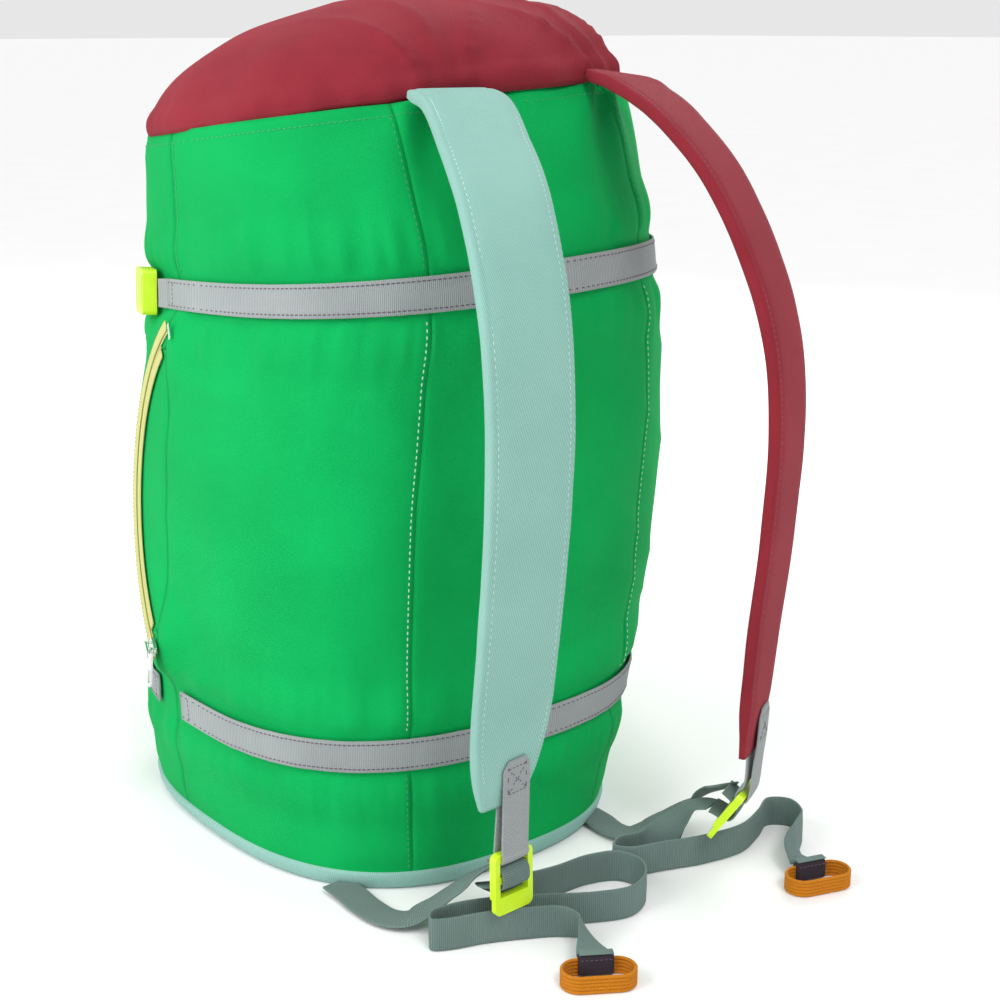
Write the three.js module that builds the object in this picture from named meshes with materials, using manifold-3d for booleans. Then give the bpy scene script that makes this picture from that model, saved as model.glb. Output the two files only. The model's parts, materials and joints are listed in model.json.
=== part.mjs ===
// Rope storage bag: an upright stuffed duffel with two padded shoulder straps.
// Millimetres, +Z up. The origin is the middle of the flat base. The straps are on the -Y side.
import * as THREE from 'three';
import Module from 'manifold-3d';
import { mergeVertices } from 'three/addons/utils/BufferGeometryUtils.js';

const wasm = await Module();
wasm.setup();

// ---- Driving dimensions ----
const seamHeight = 466;        // base to the lid seam, at the middle
const lidRise = 69;            // lid seam to the top of the dome
const sizeAcross = 1;          // scale of the bag's section from side to side
const sizeDeep = 1;            // scale of the bag's section from back to front
const wall = 4;                // fabric and lining, as one stiffened wall
const baseThick = 7;           // sewn base panel and its turned-up edge
const webWidth = 20;           // every strap of webbing on the bag
const webThick = 1.6;
const bandThick = 1.4;         // webbing sewn round the body
const lowerBandLevel = 0.19;   // share of the seam height
const upperBandLevel = 0.777;
const padWidth = 56;
const padThick = 9;
const lockWall = 4.5;          // plastic either side of the webbing, in buckles and ladder locks
const lockWidth = webWidth + 2 * lockWall;
const lockLength = 38;
const lockThick = 5;
const gap = 0.4;               // between pieces that touch on the real bag
const bandLift = 2;            // seam allowance under the sewn bands
const zipShare = 0.45;         // the zip arc's radius, as a share of the height between the bands
const zipHalfSweep = 56;       // degrees either side of the arc's middle
const zipLevel = 0.5;          // its middle, as a share of the seam height

const roundness = 2.6;         // 2 is an ellipse, larger is squarer
const lean = 30;               // the soft body leans this far to +X above its middle
const leanWave = 0.777;        // share of a half wave from the base to the lid seam
const rightSideRise = 0.057;   // the seam is higher on the +X side
const frontDrop = 0.118;       // and lower at the front

// Half widths of the stuffed body against height: level, half across, half deep.
const stations = [
  [0, 132, 160],
  [0.1, 144, 158],
  [0.19, 151, 154],
  [0.35, 163, 154],
  [0.5, 167, 155],
  [0.65, 160, 158],
  [0.777, 148, 158],
  [0.88, 149, 150],
  [1, 145, 130],
];

const rad = THREE.MathUtils.degToRad;
const V = (x, y, z) => new THREE.Vector3(x, y, z);
const object = new THREE.Group();

// ---- Materials ----
const look = (color, roughness = 0.85, metalness = 0) =>
  new THREE.MeshStandardMaterial({ color, roughness, metalness });
const green = 0x00b450;
const maroon = 0x9c2c3c;
const mint = 0xa6cfc2;
const grey = 0x9aa3a2;
const slate = 0x5f7a76;
const neon = 0xbfe31e;
const zipYellow = 0xdede84;
const orange = 0xe08a1c;

function add(name, geometry, material, parent = object) {
  const mesh = new THREE.Mesh(geometry, material);
  mesh.name = name;
  parent.add(mesh);
  return mesh;
}

// ---- Solid building ----
function toGeometry(points, faces) {
  let volume = 0;
  for (const [a, b, c] of faces) {
    volume += points[a].dot(V(0, 0, 0).crossVectors(points[b], points[c]));
  }
  const ordered = volume < 0 ? faces.map(([a, b, c]) => [a, c, b]) : faces;
  const geometry = new THREE.BufferGeometry();
  const places = points.flatMap((p) => p.toArray());
  geometry.setAttribute('position', new THREE.Float32BufferAttribute(places, 3));
  geometry.setIndex(ordered.flat());
  geometry.computeVertexNormals();
  return geometry;
}

// A closed sheet between two grids of points. loop joins its last column to its first.
function sheet(outer, inner, columns, rows, loop = false) {
  const points = [];
  const width = loop ? columns : columns + 1;
  for (const side of [outer, inner]) {
    for (let j = 0; j <= rows; j++) {
      for (let i = 0; i < width; i++) {
        points.push(side(i / columns, j / rows));
      }
    }
  }
  const half = width * (rows + 1);
  const at = (i, j, side) => side * half + j * width + (i % width);
  const faces = [];
  const quad = (a, b, c, d) => faces.push([a, b, c], [a, c, d]);
  for (let i = 0; i < columns; i++) {
    for (let j = 0; j < rows; j++) {
      quad(at(i, j, 0), at(i + 1, j, 0), at(i + 1, j + 1, 0), at(i, j + 1, 0));
      quad(at(i, j, 1), at(i, j + 1, 1), at(i + 1, j + 1, 1), at(i + 1, j, 1));
    }
    quad(at(i, 0, 0), at(i, 0, 1), at(i + 1, 0, 1), at(i + 1, 0, 0));
    quad(at(i, rows, 0), at(i + 1, rows, 0), at(i + 1, rows, 1), at(i, rows, 1));
  }
  for (let j = 0; j < rows && !loop; j++) {
    quad(at(0, j, 0), at(0, j + 1, 0), at(0, j + 1, 1), at(0, j, 1));
    quad(at(columns, j, 0), at(columns, j, 1), at(columns, j + 1, 1), at(columns, j + 1, 0));
  }
  return toGeometry(points, faces);
}

// A solid through rings of points, each ring closed and convex.
function loft(rings) {
  const size = rings[0].length;
  const points = rings.flat();
  const faces = [];
  for (let start = 0; start < points.length - size; start += size) {
    for (let k = 0; k < size; k++) {
      const next = (k + 1) % size;
      faces.push([start + k, start + next, start + size + next]);
      faces.push([start + k, start + size + next, start + size + k]);
    }
  }
  const last = points.length - size;
  for (let k = 1; k < size - 1; k++) {
    faces.push([0, k + 1, k], [last, last + k, last + k + 1]);
  }
  return toGeometry(points, faces);
}

function toManifold(geometry) {
  const plain = geometry.clone();
  plain.deleteAttribute('normal');
  plain.deleteAttribute('uv');
  const merged = mergeVertices(plain, 1e-4);
  const triVerts = new Uint32Array(merged.index.array);
  const vertProperties = new Float32Array(merged.attributes.position.array);
  return new wasm.Manifold(new wasm.Mesh({ numProp: 3, vertProperties, triVerts }));
}

function fromManifold(solid) {
  const mesh = solid.getMesh();
  const geometry = new THREE.BufferGeometry();
  geometry.setAttribute('position', new THREE.Float32BufferAttribute(mesh.vertProperties, 3));
  geometry.setIndex([...mesh.triVerts]);
  geometry.computeVertexNormals();
  return geometry;
}

const cut = (base, ...tools) =>
  fromManifold(tools.reduce((solid, tool) => solid.subtract(toManifold(tool)), toManifold(base)));
const join = (base, ...more) =>
  fromManifold(more.reduce((solid, piece) => solid.add(toManifold(piece)), toManifold(base)));

function block(x, y, z, cx = 0, cy = 0, cz = 0) {
  return new THREE.BoxGeometry(x, y, z).translate(cx, cy, cz);
}

// A plate with rounded corners: width along Y, length along Z, thick along X.
function roundedPlate(width, length, thick, corner) {
  const w = width / 2 - corner;
  const l = length / 2 - corner;
  const shape = new THREE.Shape();
  shape.absarc(w, l, corner, 0, Math.PI / 2);
  shape.absarc(-w, l, corner, Math.PI / 2, Math.PI);
  shape.absarc(-w, -l, corner, Math.PI, 1.5 * Math.PI);
  shape.absarc(w, -l, corner, 1.5 * Math.PI, 2 * Math.PI);
  shape.closePath();
  const plate = new THREE.ExtrudeGeometry(shape, { depth: thick, bevelEnabled: false, curveSegments: 5 });
  return plate.translate(0, 0, -thick / 2).rotateX(Math.PI / 2).rotateZ(Math.PI / 2);
}

// ---- The body's surface ----
// A smooth value through the stations at this level.
function through(level, column) {
  let k = 0;
  while (k < stations.length - 2 && level > stations[k + 1][0]) {
    k++;
  }
  const slope = (m) => {
    const a = stations[Math.max(m - 1, 0)];
    const b = stations[Math.min(m + 1, stations.length - 1)];
    return (b[column] - a[column]) / (b[0] - a[0]);
  };
  const span = stations[k + 1][0] - stations[k][0];
  const t = (level - stations[k][0]) / span;
  const start = stations[k][column];
  const end = stations[k + 1][column];
  const h = t * t * (3 - 2 * t);
  const leaving = t * (1 - t) * (1 - t) * span * slope(k);
  const arriving = t * t * (1 - t) * span * slope(k + 1);
  return start + (end - start) * h + leaving - arriving;
}

const rounded = (value) => Math.sign(value) * Math.abs(value) ** (2 / roundness);
const leanAt = (level) => lean * Math.sin(Math.PI * leanWave * level);

// A point on the body. angle 270 is the middle of the back. inset is how far inside the skin it is.
function onBody(angle, level, inset = 0) {
  const x = (sizeAcross * through(level, 1) - inset) * rounded(Math.cos(rad(angle)));
  const y = (sizeDeep * through(level, 2) - inset) * rounded(Math.sin(rad(angle)));
  const tilt = level * level * (rightSideRise * x - frontDrop * y);
  return V(x + leanAt(level), y, seamHeight * level + tilt);
}

// The body's angle on its left side where the skin is this far to the front.
function angleAt(y, level) {
  const share = Math.min(Math.max(y / (sizeDeep * through(level, 2)), 0), 1);
  return 180 - THREE.MathUtils.radToDeg(Math.asin(share ** (roundness / 2)));
}

function outward(angle, level) {
  const along = onBody(angle + 1, level).sub(onBody(angle - 1, level));
  const up = onBody(angle, level + 0.01).sub(onBody(angle, level - 0.01));
  return along.cross(up).normalize();
}

// ---- Zip track: a plane arc on the left side, bulging to the front ----
const zipRadius = zipShare * (upperBandLevel - lowerBandLevel) * seamHeight;
const zipYaw = 12.3;           // the plane follows the body round to the front
const zipLean = 5;             // and leans in towards the top
const mouthAngle = 174;        // the side seam that the zip's ends meet
const toothHalf = 1.7;         // half the width of the closed teeth
const tapeWidth = 10;
const tapeThick = 0.8;
const tapeClear = 0.8;         // the least height of the tapes over the skin
const zipEnd = zipHalfSweep + 2;

// The arc's ends are on the side seam and its middle is on the skin.
const mouth = onBody(mouthAngle, zipLevel);
const forward = zipRadius * Math.cos(rad(zipYaw));
const crest = mouth.y + forward * (1 - Math.cos(rad(zipHalfSweep)));
const crestSkin = onBody(angleAt(crest, zipLevel), zipLevel);
const zipFrame = new THREE.Group();
zipFrame.position.set(crestSkin.x - zipRadius * Math.sin(rad(zipYaw)), crest - forward, crestSkin.z);
zipFrame.rotation.set(0, rad(zipLean), rad(-zipYaw), 'ZYX');
zipFrame.updateMatrix();
object.add(zipFrame);

// A point of the zip plane: radius and sweep from the arc's centre, height off the plane.
const onZip = (radius, sweep, height = 0) =>
  V(-height, radius * Math.cos(rad(sweep)), radius * Math.sin(rad(sweep)));

// The skin beside a point of the zip plane: its angle and level, and how far it swells past the plane.
function zipOnBody(sweep, radius) {
  const p = onZip(radius, sweep).applyMatrix4(zipFrame.matrix);
  let level = p.z / seamHeight;
  let angle = mouthAngle;
  for (let turn = 0; turn < 12; turn++) {
    angle = angleAt(p.y, level);
    level += (p.z - onBody(angle, level).z) / seamHeight;
  }
  return { angle, level, swell: p.x - onBody(angle, level).x };
}

// The zip rides on the swell of the body.
let zipStandOff = 0;
for (let sweep = -zipEnd; sweep <= zipEnd; sweep += 4) {
  for (const radius of [zipRadius - tapeWidth, zipRadius, zipRadius + tapeWidth]) {
    zipStandOff = Math.max(zipStandOff, zipOnBody(sweep, radius).swell + tapeClear);
  }
}

// ---- Body panels ----
const wallStart = (baseThick + gap) / seamHeight;
const wallEnd = 1 - gap / seamHeight;
const seamGap = 0.16;          // degrees between neighbouring panels

function panel(name, from, to, rows, levelAt) {
  const angleAt = (i, j) => {
    const low = from(j) + seamGap;
    const high = to(j) - seamGap;
    return low + (high - low) * i;
  };
  const outer = (i, j) => onBody(angleAt(i, j), levelAt(j));
  const inner = (i, j) => onBody(angleAt(i, j), levelAt(j), wall);
  const columns = Math.ceil((to(0) - from(0)) / 7.5);
  add(name, sheet(outer, inner, columns, rows), look(green));
}

const backCorner = 27;         // degrees from the back's middle to its side seams
const frontEdge = 10;
const even = (j) => wallStart + (wallEnd - wallStart) * j;
const fixed = (angle) => () => angle;
const bodyRows = 20;

panel('back_panel', fixed(270 - backCorner), fixed(270 + backCorner), bodyRows, even);
panel('left_side_panel', fixed(mouthAngle), fixed(270 - backCorner), bodyRows, even);
panel('right_side_panel', fixed(270 + backCorner), fixed(360 + frontEdge), bodyRows, even);

// The front panel gives way to the zip flap between the ends of the zip.
const flapSweep = zipHalfSweep - 6;
const flapRows = 16;
const flapRadius = zipRadius - toothHalf - 1.3;
const flapPoints = Array.from({ length: flapRows + 1 }, (_, k) =>
  zipOnBody(-flapSweep + (2 * flapSweep * k) / flapRows, flapRadius));
const frontLevels = [
  ...[0, 0.25, 0.5, 0.75].map((t) => wallStart + (flapPoints[0].level - 0.02 - wallStart) * t),
  flapPoints[0].level - 0.02,
  ...flapPoints.map((p) => p.level),
  flapPoints[flapRows].level + 0.02,
  ...[0.25, 0.5, 0.75, 1].map((t) => {
    const start = flapPoints[flapRows].level + 0.02;
    return start + (wallEnd - start) * t;
  }),
];
const frontAngles = [
  ...Array(5).fill(mouthAngle),
  ...flapPoints.map((p) => Math.min(p.angle, mouthAngle)),
  ...Array(5).fill(mouthAngle),
];
const frontRows = frontLevels.length - 1;
panel('front_panel', fixed(frontEdge), (j) => frontAngles[Math.round(j * frontRows)], frontRows,
  (j) => frontLevels[Math.round(j * frontRows)]);

// The flap: the crescent between the straight side seam and the zip.
const flapGap = 0.45;          // degrees clear of the panels round it
const flapThick = 2;           // one layer, so that its edge clears the front panel as it opens
const flapEdge = (j) => flapPoints[Math.round(j * flapRows)];
const flapAngle = (i, j) => {
  const low = flapEdge(j).angle + flapGap;
  return low + (mouthAngle - flapGap - low) * i;
};
add('zip_flap', sheet(
  (i, j) => onBody(flapAngle(i, j), flapEdge(j).level),
  (i, j) => onBody(flapAngle(i, j), flapEdge(j).level, flapThick), 4, flapRows), look(green));

// Lid: a low dome, open below.
const lidThick = 3;
const dome = (inset) => (i, j) => {
  const climb = rad(88) * j;
  const rim = onBody(360 * i, 1, inset);
  const middle = V(leanAt(1), 0, seamHeight);
  const rise = (lidRise - inset) * Math.sin(climb);
  return middle.clone().lerp(rim, Math.cos(climb)).add(V(0, 0, rise + gap));
};
function domeSolid() {
  const columns = 36;
  const rows = 9;
  const points = [];
  const faces = [];
  for (const inset of [0, lidThick]) {
    for (let j = 0; j <= rows; j++) {
      for (let i = 0; i < columns; i++) {
        points.push(dome(inset)(i / columns, j / rows));
      }
    }
    points.push(V(leanAt(1), 0, seamHeight + gap + lidRise - inset));
  }
  const side = columns * (rows + 1) + 1;
  for (let i = 0; i < columns; i++) {
    const n = (i + 1) % columns;
    for (let j = 0; j < rows; j++) {
      const a = j * columns;
      const b = a + columns;
      faces.push([a + i, a + n, b + n], [a + i, b + n, b + i]);
      faces.push([side + a + i, side + b + n, side + a + n], [side + a + i, side + b + i, side + b + n]);
    }
    const top = rows * columns;
    faces.push([top + i, top + n, side - 1], [side + top + i, 2 * side - 1, side + top + n]);
    faces.push([i, side + i, side + n], [i, side + n, n]);
  }
  return toGeometry(points, faces);
}
add('lid_panel', domeSolid(), look(maroon));

// Base: a flat panel with a rounded lower edge.
const baseRings = [[4, 0], [1, 1.2], [0, 3.5], [0, baseThick]];
add('base_panel', loft(baseRings.map(([inset, z]) =>
  Array.from({ length: 48 }, (_, i) => {
    const p = onBody(7.5 * i, z / seamHeight, inset);
    return V(p.x, p.y, z);
  }))), look(mint));

// ---- Webbing bands round the body ----
function band(name, level, from, to, material, lift = bandLift) {
  const rise = webWidth / 2 / seamHeight;
  const at = (offset) => (i, j) => {
    const angle = from + (to - from) * i;
    return onBody(angle, level + rise * (2 * j - 1), -offset);
  };
  const columns = Math.ceil(Math.abs(to - from) / 8);
  add(name, sheet(at(lift + bandThick), at(lift), columns, 2), look(material));
}
band('lower_band', lowerBandLevel, 177, 177 + 349, grey);
band('upper_band', upperBandLevel, 170, 402, grey);

// ---- Side-release buckle at the end of the upper band ----
const buckleLength = 28;
const buckleDeep = 9;
const buckleAngle = 156;
const tongueReach = 18;
const buckleFrame = new THREE.Group();
{
  const out = outward(buckleAngle, upperBandLevel);
  const behind = onBody(buckleAngle + 1, upperBandLevel);
  const front = onBody(buckleAngle - 1, upperBandLevel).sub(behind).normalize();
  const up = V(0, 0, 0).crossVectors(out, front).normalize();
  buckleFrame.position.copy(onBody(buckleAngle, upperBandLevel)).addScaledVector(out, buckleDeep / 2 + 4);
  buckleFrame.quaternion.setFromRotationMatrix(new THREE.Matrix4().makeBasis(out, front, up));
}
object.add(buckleFrame);

// The socket is behind the tongue: it is open towards +Y of its own frame.
const socketShell = roundedPlate(buckleLength, lockWidth, buckleDeep, 3).translate(0, -buckleLength / 2, 0);
const socketRoom = block(buckleDeep - 3, tongueReach + 2, lockWidth - 5, 0, -tongueReach / 2 + 1, 0);
const socketWindow = block(buckleDeep - 3, 9, lockWidth + 4, 0, -12, 0);
const socketSlot = block(buckleDeep + 2, 3, webWidth + 1, 0, -buckleLength + 4.2, 0);
add('buckle_socket', cut(socketShell, socketRoom, socketWindow, socketSlot), look(neon, 0.35), buckleFrame);

const plugDepth = 14;
const plugPlate = roundedPlate(plugDepth, lockWidth - 2, buckleDeep - 3, 2.5);
plugPlate.translate(0, plugDepth / 2 + gap, 0);
const plugSlot = block(buckleDeep, 3.4, webWidth + 1, 0, plugDepth - 4, 0);
const prongSpread = 9;         // the outer prongs from the middle one
const prong = (z) => block(buckleDeep - 4.6, tongueReach, 3.2, 0, -tongueReach / 2 + 2, z);
const plug = join(plugPlate, prong(-prongSpread), prong(0), prong(prongSpread));
add('buckle_plug', cut(plug, plugSlot), look(neon, 0.35), buckleFrame);

// Webbing from the band's end to the socket, and from the plug across the front.
const buckleLift = 3;
const tabAcross = (offset) => (i, j) => {
  const level = upperBandLevel + (webWidth / 2 / seamHeight) * (2 * j - 1);
  return onBody(169.7 - 2.2 * i, level, -(bandLift + buckleLift * i + offset));
};
add('socket_tab', sheet(tabAcross(bandThick), tabAcross(0), 3, 2), look(grey));
band('front_strap', upperBandLevel, 145, 43, grey, 4);

// ---- Zip ----
function arcStrip(name, inner, outer, low, high, thick, height, material) {
  const steps = Math.ceil((high - low) / 4);
  const at = (h) => (i, j) => onZip(inner + (outer - inner) * i, low + (high - low) * j, h);
  add(name, sheet(at(height + thick), at(height), 1, steps), material, zipFrame);
}
const tape = look(zipYellow);
const nylon = look(0xc9c56a, 0.5);
const tapeStart = toothHalf + gap;
const split = 0.2;             // between the two rows of teeth
const toothHeight = zipStandOff - 0.6;
const toothThick = 2;
arcStrip('front_zip_tape', zipRadius + tapeStart, zipRadius + tapeWidth, -zipEnd, zipEnd,
  tapeThick, zipStandOff, tape);
arcStrip('flap_zip_tape', zipRadius - tapeWidth, zipRadius - tapeStart, -flapSweep, flapSweep,
  tapeThick, zipStandOff, tape);
arcStrip('front_zip_teeth', zipRadius + split, zipRadius + toothHalf, -zipEnd, zipEnd,
  toothThick, toothHeight, nylon);
arcStrip('flap_zip_teeth', zipRadius - toothHalf, zipRadius - split, -flapSweep, flapSweep,
  toothThick, toothHeight, nylon);
arcStrip('zip_end_stop', zipRadius - 5, zipRadius + 5, zipEnd + 0.3, zipEnd + 2,
  1.5, zipStandOff, look(0xd8e0d8));

// Slider: a top plate with side flanges over the teeth, and the bail that holds the pull.
const sliderHeight = zipStandOff + 1.9;
const sliderPlate = roundedPlate(8, 12, 1.4, 2).translate(-sliderHeight - 0.7, 0, 0);
const flange = (y) => block(1.4, 1, 8, -sliderHeight + 0.2, y, 0);
const bailReach = 3.7;         // each foot from the slider's middle
const bailWire = 1.6;
const bailFoot = (z) => roundedPlate(bailWire, bailWire, 4, bailWire / 2).translate(-sliderHeight - 2.6, 0, z);
const bailTop = block(1.2, bailWire, 2 * bailReach + bailWire, -sliderHeight - 4.6, 0, 0);
const bail = join(bailTop, bailFoot(-bailReach), bailFoot(bailReach));
const slider = join(sliderPlate, flange(-3.2), flange(3.2), bail);
const metal = look(0xc0c4c6, 0.3, 1);
const sliderFrame = new THREE.Group();
sliderFrame.position.copy(onZip(zipRadius, -zipHalfSweep));
sliderFrame.rotation.x = rad(-zipHalfSweep);
zipFrame.add(sliderFrame);
add('zip_slider', slider, metal, sliderFrame);

// The pull hangs straight down with its round eye on the bail's lower foot, which it swings about.
const pullLength = 27;
const pullWidth = 8;
const eye = 2 * bailWire;
const pullPlate = roundedPlate(pullWidth, pullLength, 1.2, 3.5);
pullPlate.translate(0, 0, -pullLength / 2 + eye / 2 + 1.3);
const pullHole = roundedPlate(3.2, 9, 3, 1.5).translate(0, 0, -pullLength + 10);
const pullEye = roundedPlate(eye, eye, 3, eye / 2);
const pullFrame = new THREE.Group();
pullFrame.position.set(-sliderHeight - 2.7, 0, -bailReach);
pullFrame.rotation.x = rad(zipHalfSweep);
sliderFrame.add(pullFrame);
add('zip_pull', cut(pullPlate, pullHole, pullEye), metal, pullFrame);

// ---- Shoulder straps ----
// A flat strip along a route. turn tips its width from level, in degrees.
function stripFrames(route, steps, facing) {
  const curve = new THREE.CatmullRomCurve3(route.map(([x, y, z]) => V(x, y, z)), false, 'centripetal');
  return Array.from({ length: steps + 1 }, (_, k) => {
    const t = k / steps;
    const along = curve.getTangent(t);
    const across = facing(t, along);
    const out = V(0, 0, 0).crossVectors(along, across).normalize();
    return { at: curve.getPoint(t), across: V(0, 0, 0).crossVectors(out, along).normalize(), out };
  });
}

const strapSteps = 30;
const padSides = 12;
const routeHeight = 4.5;       // the route runs this far outside the pad's inner face
function pad(name, route, faceFrom, faceTo, material) {
  const facing = (t) => {
    const face = rad(faceFrom + (faceTo - faceFrom) * t);
    return V(Math.cos(face), Math.sin(face), 0);
  };
  const rings = stripFrames(route, strapSteps, facing).map(({ at, across, out }, k) => {
    const taper = 1 - 0.5 * Math.max(0, (k / strapSteps - 0.9) / 0.1) ** 2;
    return Array.from({ length: padSides }, (_, s) => {
      const a = (2 * Math.PI * (s + 0.5)) / padSides;
      const x = (padWidth / 2) * taper * Math.sign(Math.cos(a)) * Math.abs(Math.cos(a)) ** 0.45;
      const y = (padThick / 2) * (1 + Math.sign(Math.sin(a)) * Math.abs(Math.sin(a)) ** 0.7) - routeHeight;
      return at.clone().addScaledVector(across, x).addScaledVector(out, y);
    });
  });
  add(name, loft(rings), look(material));
}

// Routes leave the lid seam, bow out behind the back and hang to the ladder lock.
// Each point: across and behind the bag's middle, and its level, which tilts as the lid seam does.
const rootClear = 4;           // the straps keep clear of the body by this much at any size
function onStrap([across, behind, level]) {
  const x = sizeAcross * across;
  const y = sizeDeep * (behind + rootClear) - rootClear;
  return [x, y, seamHeight * level + level * level * (rightSideRise * x - frontDrop * y)];
}
const leftPad = [
  [-28, -131, 1], [-31, -150, 0.987], [-43, -182, 0.943], [-62, -225, 0.874], [-73, -254, 0.772],
  [-76, -263, 0.662], [-75, -260, 0.551], [-72, -250, 0.42], [-67, -236, 0.285], [-64, -231, 0.193],
].map(onStrap);
const rightPad = [
  [104, -129, 0.998], [103, -147, 0.984], [102, -180, 0.948], [103, -220, 0.879], [104, -252, 0.789],
  [104, -272, 0.7], [104, -279, 0.603], [104, -276, 0.485], [104, -268, 0.345], [104, -262, 0.19],
].map(onStrap);
pad('left_strap_pad', leftPad, -8, 3, mint);
pad('right_strap_pad', rightPad, 25, 27, maroon);

// Webbing tab sewn in the pad's end, and the ladder lock that hangs from it.
const tabLength = 28;
const tabThick = 3.2;
const tabSlack = 3;            // the lock hangs this far below the tab
const tabDrop = 1.5;           // clear of the pad's end
const lockRail = 5;            // the lock's bar in the tab
const lockBar = 4;             // the middle bar that the webbing turns round
const windowTall = 9;
const windowWide = webWidth + 1.5;
const upperWindow = 1 - lockRail - windowTall / 2;
const lowerWindow = upperWindow - lockBar - windowTall;
const lipTop = lowerWindow - windowTall / 2 - 1;
const wrapClear = lockThick / 2 + 1.4;
const wrapBehind = 6;

// The webbing's path through the lock, seen from the side: back to front, down over the bar, and back.
const wrapPath = [
  [wrapBehind, upperWindow + 1.1], [0, upperWindow - 0.1], [-wrapClear, upperWindow - 2.5],
  [-wrapClear, lowerWindow + 2.5], [0, lowerWindow + 0.1], [wrapBehind, lowerWindow - 1.1],
];
function wrapStrip(offset) {
  return (i, j) => {
    const k = Math.round(j * (wrapPath.length - 1));
    const before = wrapPath[Math.max(k - 1, 0)];
    const after = wrapPath[Math.min(k + 1, wrapPath.length - 1)];
    const side = new THREE.Vector2(after[1] - before[1], before[0] - after[0]).normalize();
    return V(webWidth * (i - 0.5), wrapPath[k][0] + side.x * offset, wrapPath[k][1] + side.y * offset);
  };
}

function strapEnd(side, route, face, tip, lockTip) {
  const [x, y, z] = route[route.length - 1];
  const holder = new THREE.Group();
  holder.position.set(x, y, z - tabDrop);
  holder.rotation.set(rad(tip), 0, rad(face), 'ZYX');
  object.add(holder);
  add(`${side}_strap_tab`, block(webWidth, tabThick, tabLength, 0, 0, -tabLength / 2), look(slate), holder);
  const lock = new THREE.Group();
  lock.position.set(0, 0, -tabLength - tabSlack);
  lock.rotation.x = rad(lockTip);
  holder.add(lock);
  const frame = roundedPlate(lockWidth, lockLength, lockThick, 4).rotateZ(Math.PI / 2);
  frame.translate(0, 0, 1 - lockLength / 2);
  const upper = block(windowWide, lockThick + 2, windowTall, 0, 0, upperWindow);
  const lower = block(windowWide, lockThick + 2, windowTall, 0, 0, lowerWindow);
  const lip = block(lockWidth + 4, lockThick, lockLength, 0, lockThick * 0.7, lipTop - lockLength / 2);
  add(`${side}_ladder_lock`, cut(frame, upper, lower, lip), look(neon, 0.35), lock);
  const wrap = sheet(wrapStrip(webThick / 2), wrapStrip(-webThick / 2), 1, wrapPath.length - 1);
  add(`${side}_lock_wrap`, wrap, look(slate), lock);
  return lock;
}
const leftLock = strapEnd('left', leftPad, 3, -3, 2);
const rightLock = strapEnd('right', rightPad, 27, 4, 30);
object.updateMatrixWorld(true);

// ---- Loose webbing ----
// Each point: x, y, z, and how far the strip stands up from flat, in degrees.
function webbing(name, route, steps, material) {
  const tips = route.map((p) => p[3]);
  const facing = (t, along) => {
    const place = t * (tips.length - 1);
    const k = Math.min(Math.floor(place), tips.length - 2);
    const tip = rad(tips[k] + (tips[k + 1] - tips[k]) * (place - k));
    const level = V(along.y, -along.x, 0).normalize();
    return level.multiplyScalar(Math.cos(tip)).add(V(0, 0, Math.sin(tip)));
  };
  const frames = stripFrames(route, steps, facing);
  const at = (side) => (i, j) => {
    const { at: middle, across, out } = frames[Math.round(j * steps)];
    const edge = middle.clone().addScaledVector(across, webWidth * (i - 0.5));
    return edge.addScaledVector(out, (side * webThick) / 2);
  };
  add(name, sheet(at(1), at(-1), 2, steps), look(material));
}

// A point of a ladder lock.
const lockPoint = (lock, x, y, z, turn) => [...V(x, y, z).applyMatrix4(lock.matrixWorld).toArray(), turn];

// Lower webbing: from under the bag's edge, by places across, behind and as a share of the lock's
// height, then by places measured from the lock, to the lock itself.
function lowerWebbing(side, lock, route, near, last, steps) {
  const pivot = V(0, 0, 0).applyMatrix4(lock.matrixWorld);
  const points = [
    ...route.map(([x, y, share]) => [sizeAcross * x, sizeDeep * y, share * pivot.z, 0]),
    ...near.map(([x, y, z]) => [pivot.x + x, pivot.y + y, pivot.z + z, 0]),
    lockPoint(lock, ...last),
  ];
  webbing(`${side}_lower_webbing`, points, steps, slate);
}
lowerWebbing('left', leftLock, [
  [-109, -129, 0.07], [-110, -150, 0.05], [-108, -169, 0.05], [-102, -181, 0.09], [-91, -188, 0.2],
], [[-15, 35, -35], [-6, 25, -24]], [0, 9.5, -8.3, 0], 30);
lowerWebbing('right', rightLock, [
  [77, -152, 0.07], [76, -166, 0.05], [78, -178, 0.07], [86, -187, 0.14], [100, -193, 0.24],
], [[8, 59, -35], [11, 47, -23], [3, 28, -9]], [1.6, 1.2 * webWidth - 10.2, -9.2, -8], 28);

// The tails stand on edge along the ground and turn flat at their pulls.
const onEdge = webWidth / 2 + 0.8;
const standing = ([x, y]) => [x, y, onEdge, 90];
webbing('left_tail', [
  lockPoint(leftLock, 0, 8.5, -24, 0), [-63, -214, 30, 0], [-54, -208, 24, 40], [-38, -207, 16, 75],
  ...[
    [-12, -208], [16, -210], [34, -218], [38, -234], [28, -249], [10, -256], [-12, -248], [-38, -231],
    [-66, -214], [-88, -206], [-102, -206], [-107, -213], [-98, -219], [-78, -226], [-56, -237],
  ].map(standing),
  [-38, -249, 10.8, 88], [-33, -261, 10.6, 70], [-38, -275, 9.6, 36], [-47.6, -287.4, 9.4, 0],
], 78, slate);
webbing('right_tail', [
  lockPoint(rightLock, 0.4, 10, -24.2, -6), [90.5, -232, 41, 0], [86, -224, 33, 30], [78, -215, 19, 70],
  ...[
    [66, -208], [48, -204], [38, -210], [44, -219], [64, -226], [92, -236], [122, -240], [146, -232],
    [164, -224], [174, -234], [168, -250],
  ].map(standing),
  [150, -262, 10.8, 80], [138, -272, 9.8, 45], [131.6, -286, 9.4, 0],
], 64, slate);

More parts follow.
